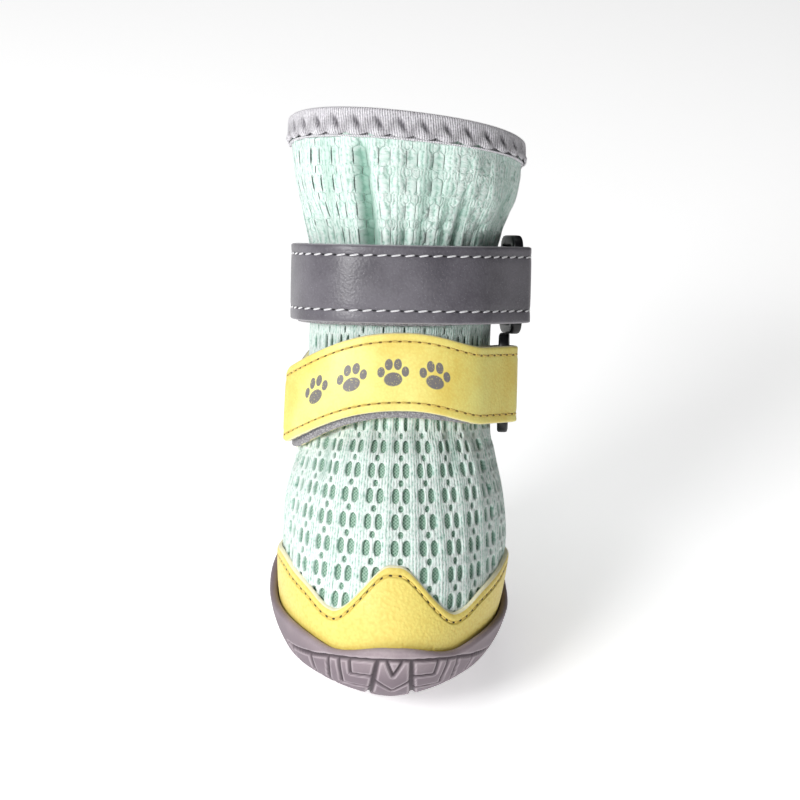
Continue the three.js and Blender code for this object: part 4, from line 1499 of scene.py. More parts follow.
@dataclass
class CupSole:
    """The rubber cup: ground, tread that climbs the toe, smooth bumper, rounded rim and inner wall."""

    wall: float = 2.1
    cup_inner: float = 1.8
    depth: float = 1.35
    groove: float = 1.15
    fine: float = 0.7
    soft: float = 0.34
    columns: int = 520
    floor_rows: int = 42
    wall_rows: int = 82
    climb_top: float = 3.9
    arch_rise: float = 0.8
    arch_centre: float = 12.0
    arch_reach: float = 8.0
    floor_height: float = 5.0
    outline_wide: float = 0.56
    outline_tail: float = 2.35
    ground: tuple[GroundRow, ...] = (
        GroundRow(0.0, -27.5, 33.5, 20.0, 1.55),
        GroundRow(1.6, -34.5, 38.2, 24.4, 1.6),
        GroundRow(5.4, -41.0, 40.8, 28.0, 1.75),
    )
    wall_places: tuple[float, ...] = (1.0, 2.0, 3.0, 4.0)

    @property
    def outer(self) -> float:
        """How far the cup's outside stands off the last."""
        return self.cup_inner + self.wall

    def rim_height(self, points: np.ndarray) -> np.ndarray:
        """Return the rim's height round the sole, highest at the toe's centre."""
        turn = np.degrees(np.abs(np.arctan2(points[..., 0], -points[..., 1])))
        return 17.2 + 5.2 * (1 - smooth_step(30, 96, turn)) + 4.6 * (1 - smooth_step(2, 26, turn))

    def ground_ring(self, row: GroundRow, angle: np.ndarray) -> np.ndarray:
        """Return a ring below the cup's wall, before the spring."""
        section = np.array([row.front, row.z, row.back, row.z, row.half, self.outline_wide, row.nose,
                            self.outline_tail, 0, 0])
        return LAST.outline(np.broadcast_to(section, (*angle.shape, 10)), angle, 0.0)

    def knots(self, angle: np.ndarray) -> np.ndarray:
        """Find the rings that the outside passes through, before the spring.

        Args:
            angle: radians round from the front.

        Returns:
            The rings, from the ground up.
        """
        rings = [self.ground_ring(row, angle) for row in self.ground]
        for place in self.wall_places:
            section = LAST.section(np.full(angle.shape, place))
            rings.append(LAST.outline(section, angle, self.outer))
        return np.stack(rings)

    def outside(self, climb: np.ndarray, angle: np.ndarray) -> np.ndarray:
        """Return points of the outside.

        Args:
            climb: how many rings up from the ground.
            angle: radians round from the front.

        Returns:
            Points with the toe spring.
        """
        climb, angle = np.broadcast_arrays(np.asarray(climb, float), np.asarray(angle, float))
        knots = self.knots(angle)
        knots = np.concatenate([[2 * knots[0] - knots[1]], knots, [2 * knots[-1] - knots[-2]]])
        knots[0, ..., 2] = knots[1, ..., 2]
        low = np.clip(np.floor(climb).astype(int), 0, 5)
        t = (climb - low)[..., None]
        picked = [np.take_along_axis(knots, (low + k)[None, ..., None], axis=0)[0] for k in range(4)]
        points = curve_between(*picked, t)
        points[..., 2] = np.maximum(points[..., 2], 0) + LAST.spring(points[..., 1])
        return points

    def toe_line(self, corners: Sequence[tuple[float, float]]) -> np.ndarray:
        """Lay a groove on the climbing toe.

        Args:
            corners: its corners as pairs of x and climb.

        Returns:
            Its points, about a millimetre apart.
        """
        steps = np.concatenate([np.linspace(a, b, 14)[:-1] for a, b in zip(corners[:-1], corners[1:])])
        x, climb = np.concatenate([steps, [corners[-1]]]).T
        wall = LAST.section(np.array(self.wall_places))
        halves = [row.half for row in self.ground] + list(wall[:, 4] + self.outer)
        noses = [row.nose for row in self.ground] + list(wall[:, 6])
        half = np.interp(climb, range(len(halves)), halves)
        nose = np.interp(climb, range(len(noses)), noses)
        share = np.clip(np.abs(x) / half, 0, 0.97)
        return self.outside(climb, np.sign(x) * np.arcsin(share ** (nose / 2)))

    def toe_grooves(self) -> tuple[list[np.ndarray], list[np.ndarray]]:
        """Return the climbing toe's wide grooves, and the fine ones of its chevrons and lugs."""
        top = self.climb_top

        def column(climb: float) -> float:
            """Return how far the middle column's side is from the centre at that climb."""
            return 6.3 - 1.8 * min(climb / top, 1)

        wide = [
            [(column(0), -0.2), (column(2), 2), (column(top), top)],
            [(0, top), (12.0, top), (17.0, 3.88), (26.0, 3.55)],
        ]
        fine = [[(0, low), (column(low + 0.85), low + 0.85)] for low in (-0.25, 0.85, 2.0)]
        fine += [
            [(0, 3.1), (2.2, top)],
            [(column(3.05), 3.05), (10.9, 3.1), (11.7, top)],
            [(column(2.2), 2.2), (12.6, 2.3), (14.4, top)],
            [(column(1.2), 1.2), (13.6, 1.4), (15.8, 2.3), (17.0, top)],
            [(column(0.3), 0.3), (14.5, 0.6), (18.0, 1.5)],
            [(17.0, 1.6), (19.4, 2.6), (21.4, 3.8)],
            [(19.6, 1.0), (23.0, 2.2), (25.4, 3.5)],
        ]
        wide, fine = self.mirrored(wide), self.mirrored(fine)
        return [self.toe_line(line) for line in wide], [self.toe_line(line) for line in fine]

    def mirrored(self, lines: list[list[tuple[float, float]]]) -> list[list[tuple[float, float]]]:
        """Return the lines and their mirror images."""
        return lines + [[(-x, other) for x, other in line] for line in lines]

    def under_grooves(self) -> list[np.ndarray]:
        """Return the grooves of the underside as lines in plan."""
        column = 6.4
        lines = [[(column, -30), (column, 44)]]
        lines += [[(0, y + 3.8), (column, y)] for y in np.arange(-23, 36, 7.5)]
        for y in np.arange(-23, 36, 9.4):
            lines.append([(column, y + 5), (34, y)])
            lines.append([(column + 4.4, y + 8.4), (column + 11, y + 7.2), (column + 11.8, y + 3)])
        return [np.array([(x, y, 0.0) for x, y in line]) for line in self.mirrored(lines)]

    def distance(self, points: np.ndarray, lines: list[np.ndarray]) -> np.ndarray:
        """Measure how far points are from the nearest of some lines.

        Args:
            points: rows of three.
            lines: the lines' own points.

        Returns:
            Each point's distance, right up to about 2.5 mm and large beyond.
        """
        starts = np.concatenate([line[:-1] for line in lines])
        ends = np.concatenate([line[1:] for line in lines])
        least = np.full(len(points), 99.0)
        for a, b in zip(starts, ends):
            near = np.abs(points - (a + b) / 2).max(axis=1) < np.linalg.norm(b - a) / 2 + 2.5
            if not near.any():
                continue
            p = points[near] - a
            along = b - a
            t = np.clip(p @ along / max(along @ along, 1e-9), 0, 1)
            least[near] = np.minimum(least[near], np.linalg.norm(p - t[:, None] * along, axis=1))
        return least

    def rows(self) -> tuple[np.ndarray, int]:
        """Lay out the cup's outside.

        Returns:
            Its grid from the middle of the ground up to the rim, and the row where its wall starts.
        """
        angle = all_round(self.columns)
        edge = self.ground_ring(self.ground[0], angle)
        centre = np.array([0.0, 3.0, 0.0])
        scales = np.concatenate([[0.0], np.linspace(0.03, 1, self.floor_rows)[:-1]])
        floor = centre + (edge - centre) * scales[:, None, None]
        floor[..., 2] = LAST.spring(floor[..., 1])
        wall = self.outside(np.linspace(0, 6, 241)[:, None], angle[None, :])
        above = wall[..., 2] - self.rim_height(wall)
        out = np.empty((self.wall_rows, self.columns + 1, 3))
        for k in range(self.columns + 1):
            top = int(np.argmax(above[:, k] > 0))
            share = -above[top - 1, k] / (above[top, k] - above[top - 1, k])
            line = np.concatenate([wall[:top, k], [wall[top - 1, k] * (1 - share) + wall[top, k] * share]])
            walked = run_lengths(line)
            marks = np.linspace(0, walked[-1] - 0.9, self.wall_rows)
            out[:, k] = np.stack([np.interp(marks, walked, line[:, d]) for d in range(3)], axis=1)
        return np.concatenate([floor, out]), len(floor)

    def cuts(self, grid: np.ndarray) -> tuple[np.ndarray, np.ndarray]:
        """Find the tread on the outside.

        Args:
            grid: the outside's points.

        Returns:
            How deep the grooves are and how strong the painted highlight on their edges is, both from 0 to 1.
        """
        points = grid.reshape(-1, 3)
        wide, fine = self.toe_grooves()
        extra = (self.groove - self.fine) / 2
        toe = np.minimum(self.distance(points, wide), self.distance(points, fine) + extra)
        under = self.distance(points * (1, 1, 0), self.under_grooves())
        toe, under = toe.reshape(grid.shape[:2]), under.reshape(grid.shape[:2])
        low = 1 - smooth_step(4.2, 5.4, grid[..., 2] - LAST.spring(grid[..., 1]))
        ground = low * smooth_step(-23.8, -22.2, grid[..., 1])
        half = self.groove / 2
        cuts = [1 - smooth_step(half - self.soft / 2, half + self.soft, gap) for gap in (toe, under)]
        edges = [bump(gap, half + self.soft + 0.15, 0.22) for gap in (toe, under)]
        cut = np.maximum(cuts[0], cuts[1] * ground)
        return cut, np.maximum(edges[0], edges[1] * ground) * (1 - cut)

    def build(self) -> None:
        """Make and dress the cup sole."""
        grid, wall_start = self.rows()
        arch = np.clip(1 - ((grid[..., 1] - self.arch_centre) / self.arch_reach) ** 2, 0, 1)
        grid[..., 2] = np.maximum(grid[..., 2], self.arch_rise * arch)
        normals = grid_normals(grid, True)
        on_wall = wall_start + 20
        normals *= 1 if (np.sign(normals[on_wall, :, 0] * grid[on_wall, :, 0])).sum() > 0 else -1
        normals[0] = (0, 0, -1)
        cut, edge = self.cuts(grid)
        shift = -cut * self.depth - self.recess(grid) * 0.6 * (1 - cut)
        lip = self.lip(grid[-1], normals[-1])
        points = np.concatenate([grid + normals * shift[..., None], lip])
        plain = np.zeros(lip.shape[:2])
        # The groove mask carries painted shade and the edge mask a painted highlight.
        masks = {"groove": np.concatenate([cut, plain]), "edge": np.concatenate([edge, plain])}
        piece = laid_grid("cup_sole", points, None, masks, closed=True)
        dress(piece, RubberFinish().make(), "outsole", True)

    def recess(self, grid: np.ndarray) -> np.ndarray:
        """Mark the tread zone of the toe, which sits back from the bumper above it.

        Args:
            grid: the outside's points.

        Returns:
            1 in the zone, fading to 0 round it.
        """
        step_line = self.outside(np.full(self.columns + 1, self.climb_top), all_round(self.columns))
        below_step = 1 - smooth_step(-0.25, 0.15, grid[..., 2] - step_line[None, :, 2])
        side = 1 - smooth_step(17, 27, np.abs(grid[..., 0]))
        ahead = 1 - smooth_step(-22, -14, grid[..., 1])
        return below_step * side * ahead

    def lip(self, edge: np.ndarray, normals: np.ndarray) -> np.ndarray:
        """Round the rim over and run the inner wall down to the cup's floor.

        Args:
            edge: the last ring of the outside.
            normals: its outward normals.

        Returns:
            The rings that follow it.
        """
        level = unit(normals * (1, 1, 0))
        rings = []
        for turn in np.radians(np.linspace(12, 168, 9)):
            inwards, rise = self.wall / 2 * (1 - math.cos(turn)), 0.95 * math.sin(turn)
            rings.append(edge - level * inwards + np.array([0, 0, rise]))
        inner = edge - level * self.wall
        floor_z = self.floor_height + LAST.spring(inner[:, 1])
        for share in (0.0, 0.12, 0.4, 0.75, 1.0):
            ring = inner.copy()
            ring[:, 2] = edge[:, 2] * (1 - share) + floor_z * share
            ring[:, :2] *= 1 - 0.2 * smooth_step(0.3, 1.0, share)
            rings.append(ring)
        foot = rings[-1]
        for share in (0.6, 0.3, 0.0):
            ring = foot * share
            ring[:, 2] = self.floor_height + LAST.spring(ring[:, 1])
            rings.append(ring)
        return np.stack(rings)


# ------------------------------------------------------------------------------------------------
# Toe cap and insole


@dataclass
class ToeCap:
    """Grained leather rand: a rounded peak at the toe, level flanks and a low heel.

    Its back and its rounded upper edge are rows of how far down from the edge they are and how
    far they stand off the form.
    """

    outer: float = 1.5
    flank: float = 33.0
    peak: float = 10.8
    dip: float = 1.7
    fall: float = 10.0
    stitch_line: float = 2.5
    stitch_pitch: float = 2.4
    columns: int = 300
    back: tuple[tuple[float, float], ...] = ((6.0, 0.28), (1.5, 0.28), (0.0, 0.28))
    face: tuple[tuple[float, float], ...] = (
        (0.0, 0.35), (0.06, 0.72), (0.2, 0.98), (0.42, 1.2), (0.7, 1.36), (1.0, 1.46), (1.4, 1.5), (1.9, 1.5),
        (2.2, 1.4), (2.5, 1.34), (2.8, 1.4), (3.1, 1.5), (3.6, 1.5),
    )

    def edge_height(self, points: np.ndarray) -> np.ndarray:
        """Return the height of the cap's upper edge round the boot."""
        turn = np.degrees(np.abs(np.arctan2(points[..., 0], -points[..., 1])))
        peak = self.peak * (1 - smooth_step(2, 25.5, turn))
        return self.flank + peak - self.dip * bump(turn, 28, 10) - self.fall * smooth_step(66, 128, turn)

    def top_places(self, angle: np.ndarray) -> np.ndarray:
        """Find where each angle meets the cap's upper edge.

        Args:
            angle: radians round from the front.

        Returns:
            Places in the stack.
        """
        dense = np.linspace(1, 6.5, 400)
        points = LAST.point(dense[:, None], angle[None, :], self.outer)
        above = points[..., 2] - self.edge_height(points)
        first = np.argmax(above > 0, axis=0)
        column = np.arange(len(angle))
        low, high = above[first - 1, column], above[first, column]
        return dense[first - 1] + (dense[first] - dense[first - 1]) * (-low / (high - low))

    def build(self) -> None:
        """Make and dress the cap and its thread."""
        angle = all_round(self.columns)
        top = self.top_places(angle)
        climb = top + (0.9 - top) * np.linspace(0, 1, 160)[:, None]
        steps = np.linalg.norm(np.diff(LAST.point(climb, angle[None, :], self.outer), axis=0), axis=2)
        walked = np.concatenate([np.zeros((1, len(angle))), np.cumsum(steps, axis=0)])
        edge_run = run_lengths(LAST.point(top, angle, self.outer))
        edge_run *= math.floor(edge_run[-1] / self.stitch_pitch) * self.stitch_pitch / edge_run[-1]
        rows, flats = [], []
        flank = [(drop, self.outer) for drop in np.linspace(4.4, 24, 22)]
        for drop, offset in (*self.back, *self.face, *flank):
            reach = np.minimum(drop, walked[-1] * 0.98)
            place = [np.interp(reach[k], walked[:, k], climb[:, k]) for k in range(len(angle))]
            rows.append(LAST.point(np.array(place), angle, offset))
            shown = 0.3 if len(rows) <= len(self.back) else drop
            flats.append(np.stack([edge_run, np.full_like(edge_run, shown)], axis=1))
        points = np.stack(rows)
        piece = laid_grid("toe_cap_leather", points, np.stack(flats))
        front = min(piece.data.polygons, key=lambda face: face.center.y)
        if front.normal.y > 0:
            in_edit(piece, bpy.ops.mesh.flip_normals)
        dress(piece, GrainFinish(self.stitch_line, self.stitch_pitch).make(), "toe_cap", True)
        sewn = len(self.back) + [drop for drop, _ in self.face].index(self.stitch_line)
        self.sew(points[sewn], grid_normals(points, True)[sewn], edge_run)

    def sew(self, line: np.ndarray, normals: np.ndarray, walked: np.ndarray) -> None:
        """Lay thread between the holes of the stitch line.

        Args:
            line: points of the stitch line.
            normals: the surface's normals there.
            walked: the stitch pattern's own distance along the line.
        """
        outward = (line - (0, 10.0, 0)) * (1, 1, 0)
        normals = normals * np.sign((normals * outward).sum(1, keepdims=True))
        middles = np.arange(self.stitch_pitch / 2, walked[-1], self.stitch_pitch)
        out = along_line(normals, walked, middles)
        centres = along_line(line, walked, middles) + out * 0.06
        ahead = along_line(line, walked, middles + 0.4) - along_line(line, walked, middles - 0.4)
        thread = many_copies("toe_cap_thread", one_stitch(1.7, 0.42, 0.3), centres, ahead, out)
        dress(thread, ThreadFinish("ochre_thread", (250, 228, 124), (226, 192, 88)).make(), "toe_cap", False)


@dataclass
class Insole:
    """Felted sheet on the boot's floor, softly dished.

    Its section is rows of the share of the way out from the middle and the height above its back.
    """

    inset: float = -2.5
    height: float = 5.3
    columns: int = 96
    section: tuple[tuple[float, float], ...] = (
        (0.0, 0.0), (0.5, 0.0), (0.94, 0.0), (0.99, 0.25), (1.0, 0.7), (1.0, 1.4), (0.985, 1.8), (0.96, 2.0),
    )

    def build(self) -> None:
        """Make and dress the insole."""
        form = LAST.section(0.0)
        angle = all_round(self.columns)
        edge = LAST.outline(np.broadcast_to(form, (len(angle), len(form))), angle, self.inset)
        middle = np.array([0, (form[0] + form[2]) / 2, 0])
        dished = [(share, self.section[-1][1] - 0.35 * (1 - share)) for share in np.linspace(0.9, 0.0, 16)]
        rows = []
        for share, lift in (*self.section, *dished):
            ring = middle + (edge - middle) * share
            ring[:, 2] = self.height + lift + LAST.spring(ring[:, 1])
            rows.append(ring)
        piece = laid_grid("felt_insole", np.stack(rows), closed=True)
        dress(piece, FoamFinish().make(), "insole", True)


# ------------------------------------------------------------------------------------------------
# Straps, rings and tabs


class StrapKind(Enum):
    """The boot's two straps."""

    LOWER = "lower"
    UPPER = "upper"


@dataclass
class Strap:
    """A strap sewn at the back that turns about its ring and comes back over itself.

    The leg's half width and side shift, the loop's slack on the left, the ring's two bars, and how
    far parts of the strap hang below its middle, in the leg's own frame.
    """

    kind: StrapKind
    finish: StrapFinish
    thread: ThreadFinish
    rise: float
    half: float
    side: float
    slack_left: float
    front_bar: tuple[float, float]
    rear_bar: tuple[float, float]
    ring_drop: float
    free_end: float
    straight: float
    tip_drop: float
    end_drop: float
    layer_drop: float
    hem_flare: float
    stitch_length: float
    stitch_slant: float
    width: float = 20.0
    thick: float = 1.6
    shape: float = 2.45
    leg_reach: float = 22.8
    motif_x: float = -6.0
    bar: float = 2.8
    ring_height: float = 26.0
    ring_corner: float = 1.9
    clearance: float = 0.6
    gap: float = 0.3
    last_turn: float = 46.0

    def loop(self, turn: np.ndarray, distance: float) -> np.ndarray:
        """Lay a loop round the leg.

        Args:
            turn: degrees round from the front, positive to the ring side.
            distance: how far outside the leg.

        Returns:
            Places as across and back from the leg's middle.
        """
        angle = np.radians(turn)
        slack = self.slack_left * smooth_step(0, 24, -np.asarray(turn, float))
        x = (self.half + distance + slack) * squared(np.sin(angle), self.shape)
        back = -(self.leg_reach + distance) * squared(np.cos(angle), self.shape)
        return np.stack(np.broadcast_arrays(x, back), axis=-1)

    def wrap(self, before: np.ndarray, bar: tuple[float, float], after: np.ndarray, radius: float,
             sense: int) -> np.ndarray:
        """Turn about a bar, touching the runs on both sides.

        Args:
            before: where the run comes from.
            bar: the bar's middle.
            after: where the run goes.
            radius: the turn's radius.
            sense: -1 round the front bar and 1 round the rear one.

        Returns:
            Points of the turn.
        """
        def touch(point: np.ndarray, sign: int) -> float:
            """Return the angle at which the line from a point touches the turn."""
            dx, db = point[0] - bar[0], point[1] - bar[1]
            return math.atan2(db, dx) + sign * math.acos(radius / math.hypot(dx, db))

        start, end = touch(before, sense), touch(after, -sense)
        while sense * (end - start) < 0:
            end += sense * 2 * math.pi
        angle = np.linspace(start, end, 26)
        return np.stack([bar[0] + radius * np.cos(angle), bar[1] + radius * np.sin(angle)], axis=1)

    def stations(self) -> tuple[np.ndarray, np.ndarray]:
        """Lay out the strap.

        Returns:
            Rows of across, back, rise and flare along its middle, and 1 where it's the cover.
        """
        base = self.gap + self.thick / 2
        cover = base + self.thick + self.gap
        radius = self.bar / 2 + self.clearance + self.thick / 2

        def to_ring(turn: np.ndarray) -> np.ndarray:
            """Return how near the ring a turn is, from 0 at the front to 1."""
            return smooth_step(0, self.last_turn, turn)

        def drop(turn: np.ndarray) -> np.ndarray:
            """Return how far the strap hangs below its rise at a turn."""
            side = self.end_drop * smooth_step(0, 85, -turn) * smooth_step(-150, -90, turn)
            return side + self.ring_drop * to_ring(turn)

        base_turns = np.linspace(-179, self.last_turn, 150)
        cover_turns = np.linspace(self.last_turn, self.free_end, 110 if self.free_end < -100 else 74)
        base_run, cover_run = self.loop(base_turns, base), self.loop(cover_turns, cover)
        bend = self.wrap(base_run[-1], self.front_bar, cover_run[0], radius, -1)
        base_away, cover_away = 1 - to_ring(base_turns), 1 - to_ring(cover_turns)
        base_drop = self.layer_drop * base_away + drop(base_turns)
        bend_drop = np.full(len(bend), self.ring_drop)
        rises = self.rise - np.concatenate([base_drop, bend_drop, drop(cover_turns)])
        flares = self.hem_flare * np.concatenate([base_away, np.zeros(len(bend)), cover_away])
        line = np.concatenate([base_run, bend, cover_run])
        table = np.column_stack([line[:, 0] + self.side, line[:, 1], rises, flares])
        if self.straight > 0:
            step = table[-1] - table[-2]
            reach = self.straight / np.hypot(step[0], step[1])
            t = np.linspace(0, 1, 14)[1:, None]
            tip = table[-1] + t * np.array([step[0] * reach, step[1] * reach, -self.tip_drop, 0])
            table = np.concatenate([table, tip])
        is_cover = np.zeros(len(table))
        is_cover[len(base_run) + len(bend) // 2:] = 1
        keep = well_spaced(table)
        return table[keep], is_cover[keep]

    def section(self) -> tuple[np.ndarray, np.ndarray, np.ndarray, np.ndarray]:
        """Return the loop round the strap's section: across, out, pile mask and rim mask."""
        half = self.width / 2
        lines = ribbon_lines(half, (0, 0.12, 0.4, 0.9), np.linspace(-half + 1.6, half - 1.6, 19))
        back = self.thick / 2 * round_edge(half - np.abs(lines), 0.5)
        low, high = self.finish.seam_lines
        seams = 0.16 * (bump(lines, low, 0.6) + bump(lines, high, 0.6))
        face = seams - back - 0.1 * np.cos(lines / half * math.pi / 2)
        rim = smooth_step(half - 0.32, half - 0.1, np.abs(lines))
        none, whole = np.zeros(len(lines)), np.ones(len(lines))
        return (there_and_back(lines, lines), there_and_back(face, back), there_and_back(none, whole),
                there_and_back(rim, none))

    def sweep(self, table: np.ndarray) -> tuple[np.ndarray, np.ndarray, np.ndarray]:
        """Return the middle line, the direction out and the direction up of a ribbon's stations.

        Args:
            table: stations of across, back, rise and flare.

        Returns:
            Middles, out directions and up directions in the boot's frame.
        """
        middle = LAST.leg(table[:, 0], table[:, 1], table[:, 2])
        ahead = np.gradient(table[:, :2], axis=0)
        ahead /= np.linalg.norm(ahead, axis=1, keepdims=True)
        zero = LAST.leg(0.0, 0.0, 0.0)
        out = LAST.leg(ahead[:, 1], -ahead[:, 0], np.zeros(len(ahead))) - zero
        up_leg = (LAST.leg(0.0, 0.0, 1.0) - zero)[None, :]
        across, back = table[:, 0] - self.side, table[:, 1]
        stretch = table[:, 3] / np.hypot(across, back)
        lean = LAST.leg(across * stretch, back * stretch, np.zeros(len(ahead))) - zero
        return middle, out, up_leg - lean / self.width

    def build(self) -> None:
        """Make and dress the strap, its thread, its ring and its tab."""
        table, is_cover = self.stations()
        middle, out, up = self.sweep(table)
        across, depth, pile, rim = self.section()
        walked = run_lengths(middle)
        if self.finish.motif:
            on_cover = is_cover > 0.5
            nearest = np.argmin(np.abs(table[on_cover, 0] - self.motif_x))
            self.finish = replace(self.finish, motif_centre=float(walked[on_cover][nearest]))
        from_tip = walked[-1] - walked
        narrow = 1 - 0.28 * (1 - round_edge(from_tip, 3.0))
        thin = round_edge(np.minimum(from_tip, walked), 0.5)
        wave = 0.06 * np.sin(walked / 5.1) + 0.04 * np.sin(walked / 2.3 + 1)
        across = across * narrow[:, None]
        ripple = 0.1 * np.sin(walked[:, None] / 3.7 + across * 0.35) * (np.abs(across) / 10) ** 2
        depth = depth * thin[:, None] + wave[:, None] + ripple
        points = middle[:, None] + up[:, None] * across[..., None] + out[:, None] * depth[..., None]
        flat = np.stack(np.broadcast_arrays(walked[:, None], across), axis=-1)
        masks = {"pile": np.broadcast_to(pile, across.shape), "rim": np.broadcast_to(rim, across.shape)}
        piece = laid_grid(f"{self.kind.value}_strap_ribbon", points, flat, masks, closed=True)
        dress(piece, self.finish.make(), f"{self.kind.value}_strap", True)
        self.sew(walked, middle, out, up, is_cover)
        self.make_ring()
        self.make_tab()

    def sew(self, walked: np.ndarray, middle: np.ndarray, out: np.ndarray, up: np.ndarray,
            is_cover: np.ndarray) -> None:
        """Lay the two rows of thread on the cover's face.

        Args:
            walked: the distance along the strap of each station.
            middle: the strap's middle there.
            out: its direction out.
            up: its direction up.
            is_cover: 1 where it's the cover.
        """
        first = walked[int(np.argmax(is_cover > 0.5))]
        pitch = self.finish.pitch
        start = math.ceil(first / pitch) * pitch + pitch / 2
        marks = np.arange(start, walked[-1] - 1.5, pitch)
        centre, rise, inwards = (along_line(values, walked, marks) for values in (middle, up, out))
        centre = centre - inwards * (self.thick / 2 + 0.02)
        run = along_line(middle, walked, marks + 0.4) - along_line(middle, walked, marks - 0.4)
        centres = np.concatenate([centre + rise * line for line in self.finish.seam_lines])
        ahead = np.tile(unit(run) - self.stitch_slant * rise, (2, 1))
        stitch = one_stitch(self.stitch_length, 0.5, 0.42)
        outward = np.tile(-inwards, (2, 1))
        piece = many_copies(f"{self.kind.value}_strap_thread", stitch, centres, ahead, outward)
        dress(piece, self.thread.make(), f"{self.kind.value}_strap", False)

    def make_ring(self) -> None:
        """Sweep the ring's rounded bar round a rounded rectangle that stands along the leg."""
        front, rear = np.array(self.front_bar), np.array(self.rear_bar)
        span = float(np.linalg.norm(rear - front))
        along = (rear - front) / span
        middle = (rear + front) / 2
        half_rise, corner, bar = (self.ring_height - self.bar) / 2, self.ring_corner, self.bar / 2
        turns = all_round(24)
        bar_out = bar * squared(np.cos(turns), np.array(4.5))
        bar_through = bar * squared(np.sin(turns), np.array(4.5))
        rows = []
        for sign_u, sign_v, start in ((1, 1, 0), (-1, 1, 90), (-1, -1, 180), (1, -1, 270)):
            for turn in np.radians(start + np.linspace(0, 90, 9)):
                u = sign_u * (span / 2 - corner) + (corner + bar_out) * math.cos(turn)
                rise = sign_v * (half_rise - corner) + (corner + bar_out) * math.sin(turn)
                x = middle[0] + along[0] * u - along[1] * bar_through
                back = middle[1] + along[1] * u + along[0] * bar_through
                rows.append(LAST.leg(x + self.side, back, self.rise - self.ring_drop + rise))
        rows.append(rows[0])
        piece = laid_grid(f"{self.kind.value}_ring_bar", np.stack(rows), closed=True)
        dress(piece, PlasticFinish().make(), f"{self.kind.value}_ring", True)

    def make_tab(self) -> None:
        """Sweep the webbing tab that holds the ring's rear bar."""
        thick, half = 1.0, 9.0
        inner = self.gap + thick / 2
        outer = inner + thick + self.gap
        turns = np.linspace(150, 114, 16)
        inward, outward = self.loop(turns, inner), self.loop(turns[::-1], outer)
        bend = self.wrap(inward[-1], self.rear_bar, outward[0], self.bar / 2 + self.clearance + thick / 2, 1)
        line = np.concatenate([inward, bend, outward])
        rise, none = np.full(len(line), self.rise - self.ring_drop), np.zeros(len(line))
        table = np.column_stack([line[:, 0] + self.side, line[:, 1], rise, none])
        middle, out, up = self.sweep(table[well_spaced(table)])
        lines = ribbon_lines(half, (0, 0.15, 0.5), np.linspace(-half + 1, half - 1, 17))
        back = thick / 2 * round_edge(half - np.abs(lines), 0.5)
        across = there_and_back(lines, lines)
        walked = run_lengths(middle)
        thin = round_edge(np.minimum(walked[-1] - walked, walked), 0.4)
        depth = there_and_back(-back, back) * thin[:, None]
        points = middle[:, None] + up[:, None] * across[:, None] + out[:, None] * depth[..., None]
        flat = np.stack(np.broadcast_arrays(walked[:, None], across), axis=-1)
        piece = laid_grid(f"{self.kind.value}_tab_webbing", points, flat, closed=True)
        dress(piece, WebbingFinish().make(), f"{self.kind.value}_ring_tab", True)


def both_straps() -> list[Strap]:
    """Return the lower and the upper strap."""
    # Each strap's seam and hole colours are painted shade along its seams and in its stitch holes.
    yellow = StrapFinish("yellow_strap", light=(252, 244, 146), deep=(236, 208, 100), glitter=0.0,
                         edge=(250, 240, 190), hole=(120, 84, 30), seam=(238, 208, 108),
                         seam_lines=(-7.75, 7.75), pitch=2.5, motif=True, gloss=0.4)
    grey = StrapFinish("grey_strap", light=(112, 109, 116), deep=(80, 77, 84), glitter=0.85,
                       edge=(170, 166, 172), hole=(22, 21, 26), seam=(86, 84, 90),
                       seam_lines=(-6.7, 7.3), pitch=3.5, motif=False, gloss=0.3)
    ochre = ThreadFinish("amber_thread", (238, 210, 108), (196, 160, 70))
    white = ThreadFinish("white_thread", (250, 250, 250), (206, 204, 210))
    lower = Strap(StrapKind.LOWER, yellow, ochre, rise=12.2, half=24.2, side=2.1, slack_left=1.4,
                  front_bar=(27, -9), rear_bar=(28.2, 1.8), ring_drop=3.6, free_end=-63,
                  straight=8, tip_drop=2.5, end_drop=9.5, layer_drop=1.8, hem_flare=0.8,
                  stitch_length=1.7, stitch_slant=0.0)
    upper = Strap(StrapKind.UPPER, grey, white, rise=34.4, half=24.7, side=2.65, slack_left=0.8,
                  front_bar=(29.9, -5.3), rear_bar=(28, 5.3), ring_drop=0, free_end=-128,
                  straight=0, tip_drop=0, end_drop=0, layer_drop=0.6, hem_flare=0,
                  stitch_length=2.5, stitch_slant=0.16)
    return [lower, upper]


# ------------------------------------------------------------------------------------------------
# Studio


@dataclass(frozen=True)
class SoftLight:
    """A soft square light that looks at the boot: its place and side in metres, and its watts."""

    name: str
    place: tuple[float, float, float]
    side: float
    watts: float


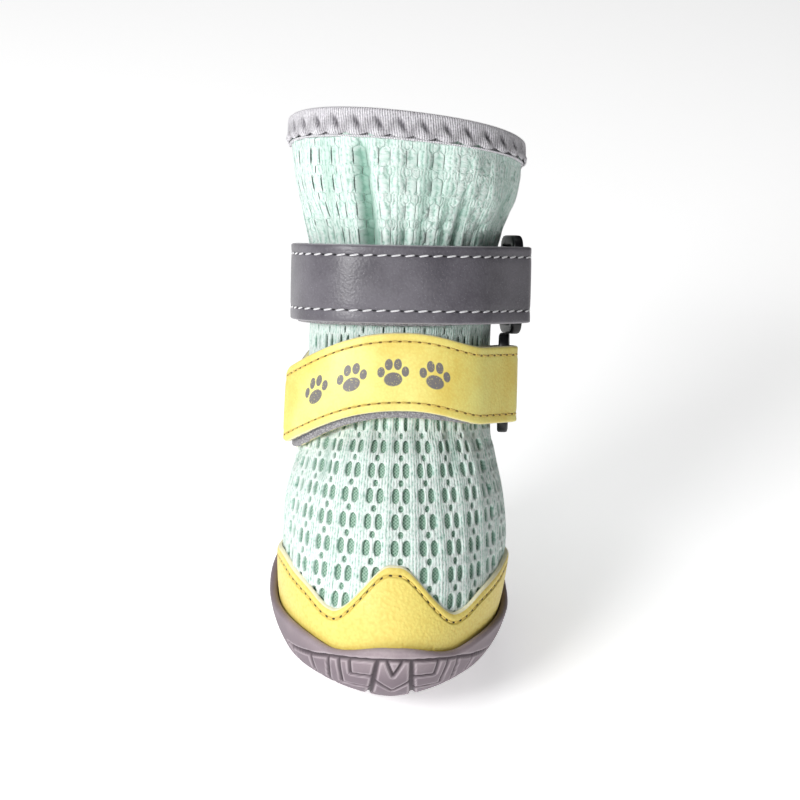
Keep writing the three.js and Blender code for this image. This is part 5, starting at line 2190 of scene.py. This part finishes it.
@dataclass
class Studio:
    """Pale floor, white surroundings, soft lights and the camera.

    The surroundings' brightness runs from the dark side to the bright one along a tilted axis.
    """

    target: tuple[float, float, float] = (0.0, 12.0, 67.0)
    distance: float = 600.0
    azimuth: float = -3.0
    elevation: float = 28.0
    roll: float = 2.2
    lens: float = 103.5
    dark_side: float = 0.3
    bright_side: float = 1.35
    tilt: float = 58.0
    lights: tuple[SoftLight, ...] = (
        SoftLight("key", (-0.6, -0.55, 0.5), 0.35, 7.0),
        SoftLight("fill", (0.0, -0.95, 0.3), 0.8, 1.6),
        SoftLight("top", (-0.15, 0.3, 0.9), 0.6, 2.6),
    )

    def make_floor(self) -> None:
        """Lay the floor."""
        floor, _, _ = new_grid("studio_floor", 40, 40, 6)
        floor.data.materials.append(FloorFinish().make())

    def make_world(self) -> None:
        """Surround the boot with soft white light."""
        world = bpy.data.worlds.new("studio")
        world.use_nodes = True
        tree = world.node_tree
        back = next(node for node in tree.nodes if node.type == "BACKGROUND")
        place = tree.nodes.new("ShaderNodeTexCoord")
        slope = tree.nodes.new("ShaderNodeMapping")
        slope.vector_type = "POINT"
        slope.inputs["Rotation"].default_value = (0, math.radians(self.tilt), 0)
        parts = tree.nodes.new("ShaderNodeSeparateXYZ")
        level = tree.nodes.new("ShaderNodeMapRange")
        for socket, value in enumerate((-0.9, 1.0, self.dark_side, self.bright_side), start=1):
            level.inputs[socket].default_value = value
        tree.links.new(place.outputs["Generated"], slope.inputs["Vector"])
        tree.links.new(slope.outputs[0], parts.inputs[0])
        tree.links.new(parts.outputs[2], level.inputs[0])
        tree.links.new(level.outputs[0], back.inputs[1])
        bpy.context.scene.world = world
        bpy.context.scene.view_settings.view_transform = "Standard"

    def add_light(self, lamp: SoftLight) -> None:
        """Add a light to the scene.

        Args:
            lamp: the light.
        """
        light = bpy.data.lights.new(lamp.name, "AREA")
        light.size, light.energy = lamp.side, lamp.watts
        holder = bpy.data.objects.new(lamp.name, light)
        bpy.context.scene.collection.objects.link(holder)
        place = np.array(lamp.place)
        holder.matrix_world = self.facing(unit(place - np.array(self.target) * MM), place, 0.0)

    def facing(self, back: np.ndarray, place: np.ndarray, roll: float) -> Matrix:
        """Place a light or a camera.

        Args:
            back: the direction behind it.
            place: where it stands, in metres.
            roll: how far it's rolled from level, in degrees.

        Returns:
            The placement.
        """
        right = unit(np.cross([0.0, 0.0, 1.0], back))
        up = np.cross(back, right)
        turn = Matrix([[right[k], up[k], back[k]] for k in range(3)]).to_4x4()
        return Matrix.Translation(place.tolist()) @ turn @ Matrix.Rotation(math.radians(roll), 4, "Z")

    def make_camera(self) -> None:
        """Place the camera."""
        a, e = math.radians(self.azimuth), math.radians(self.elevation)
        back = np.array([math.sin(a) * math.cos(e), -math.cos(a) * math.cos(e), math.sin(e)])
        place = (np.array(self.target) + back * self.distance) * MM
        camera = bpy.data.cameras.new("camera")
        camera.lens, camera.sensor_width, camera.shift_x = self.lens, 36.0, 0.01
        camera.clip_start = 0.01
        holder = bpy.data.objects.new("camera", camera)
        bpy.context.scene.collection.objects.link(holder)
        holder.matrix_world = self.facing(back, place, self.roll)
        bpy.context.scene.camera = holder

    def build(self) -> None:
        """Make the studio."""
        self.make_floor()
        self.make_world()
        for lamp in self.lights:
            self.add_light(lamp)
        self.make_camera()


def main() -> None:
    """Build the boot on its frame and report each piece."""
    logging.basicConfig(level=logging.INFO, format="%(name)s %(message)s")
    Studio().build()
    Upper().build()
    CollarTape().build()
    CupSole().build()
    ToeCap().build()
    Insole().build()
    for strap in both_straps():
        strap.build()


if __name__ == "__main__":
    main()
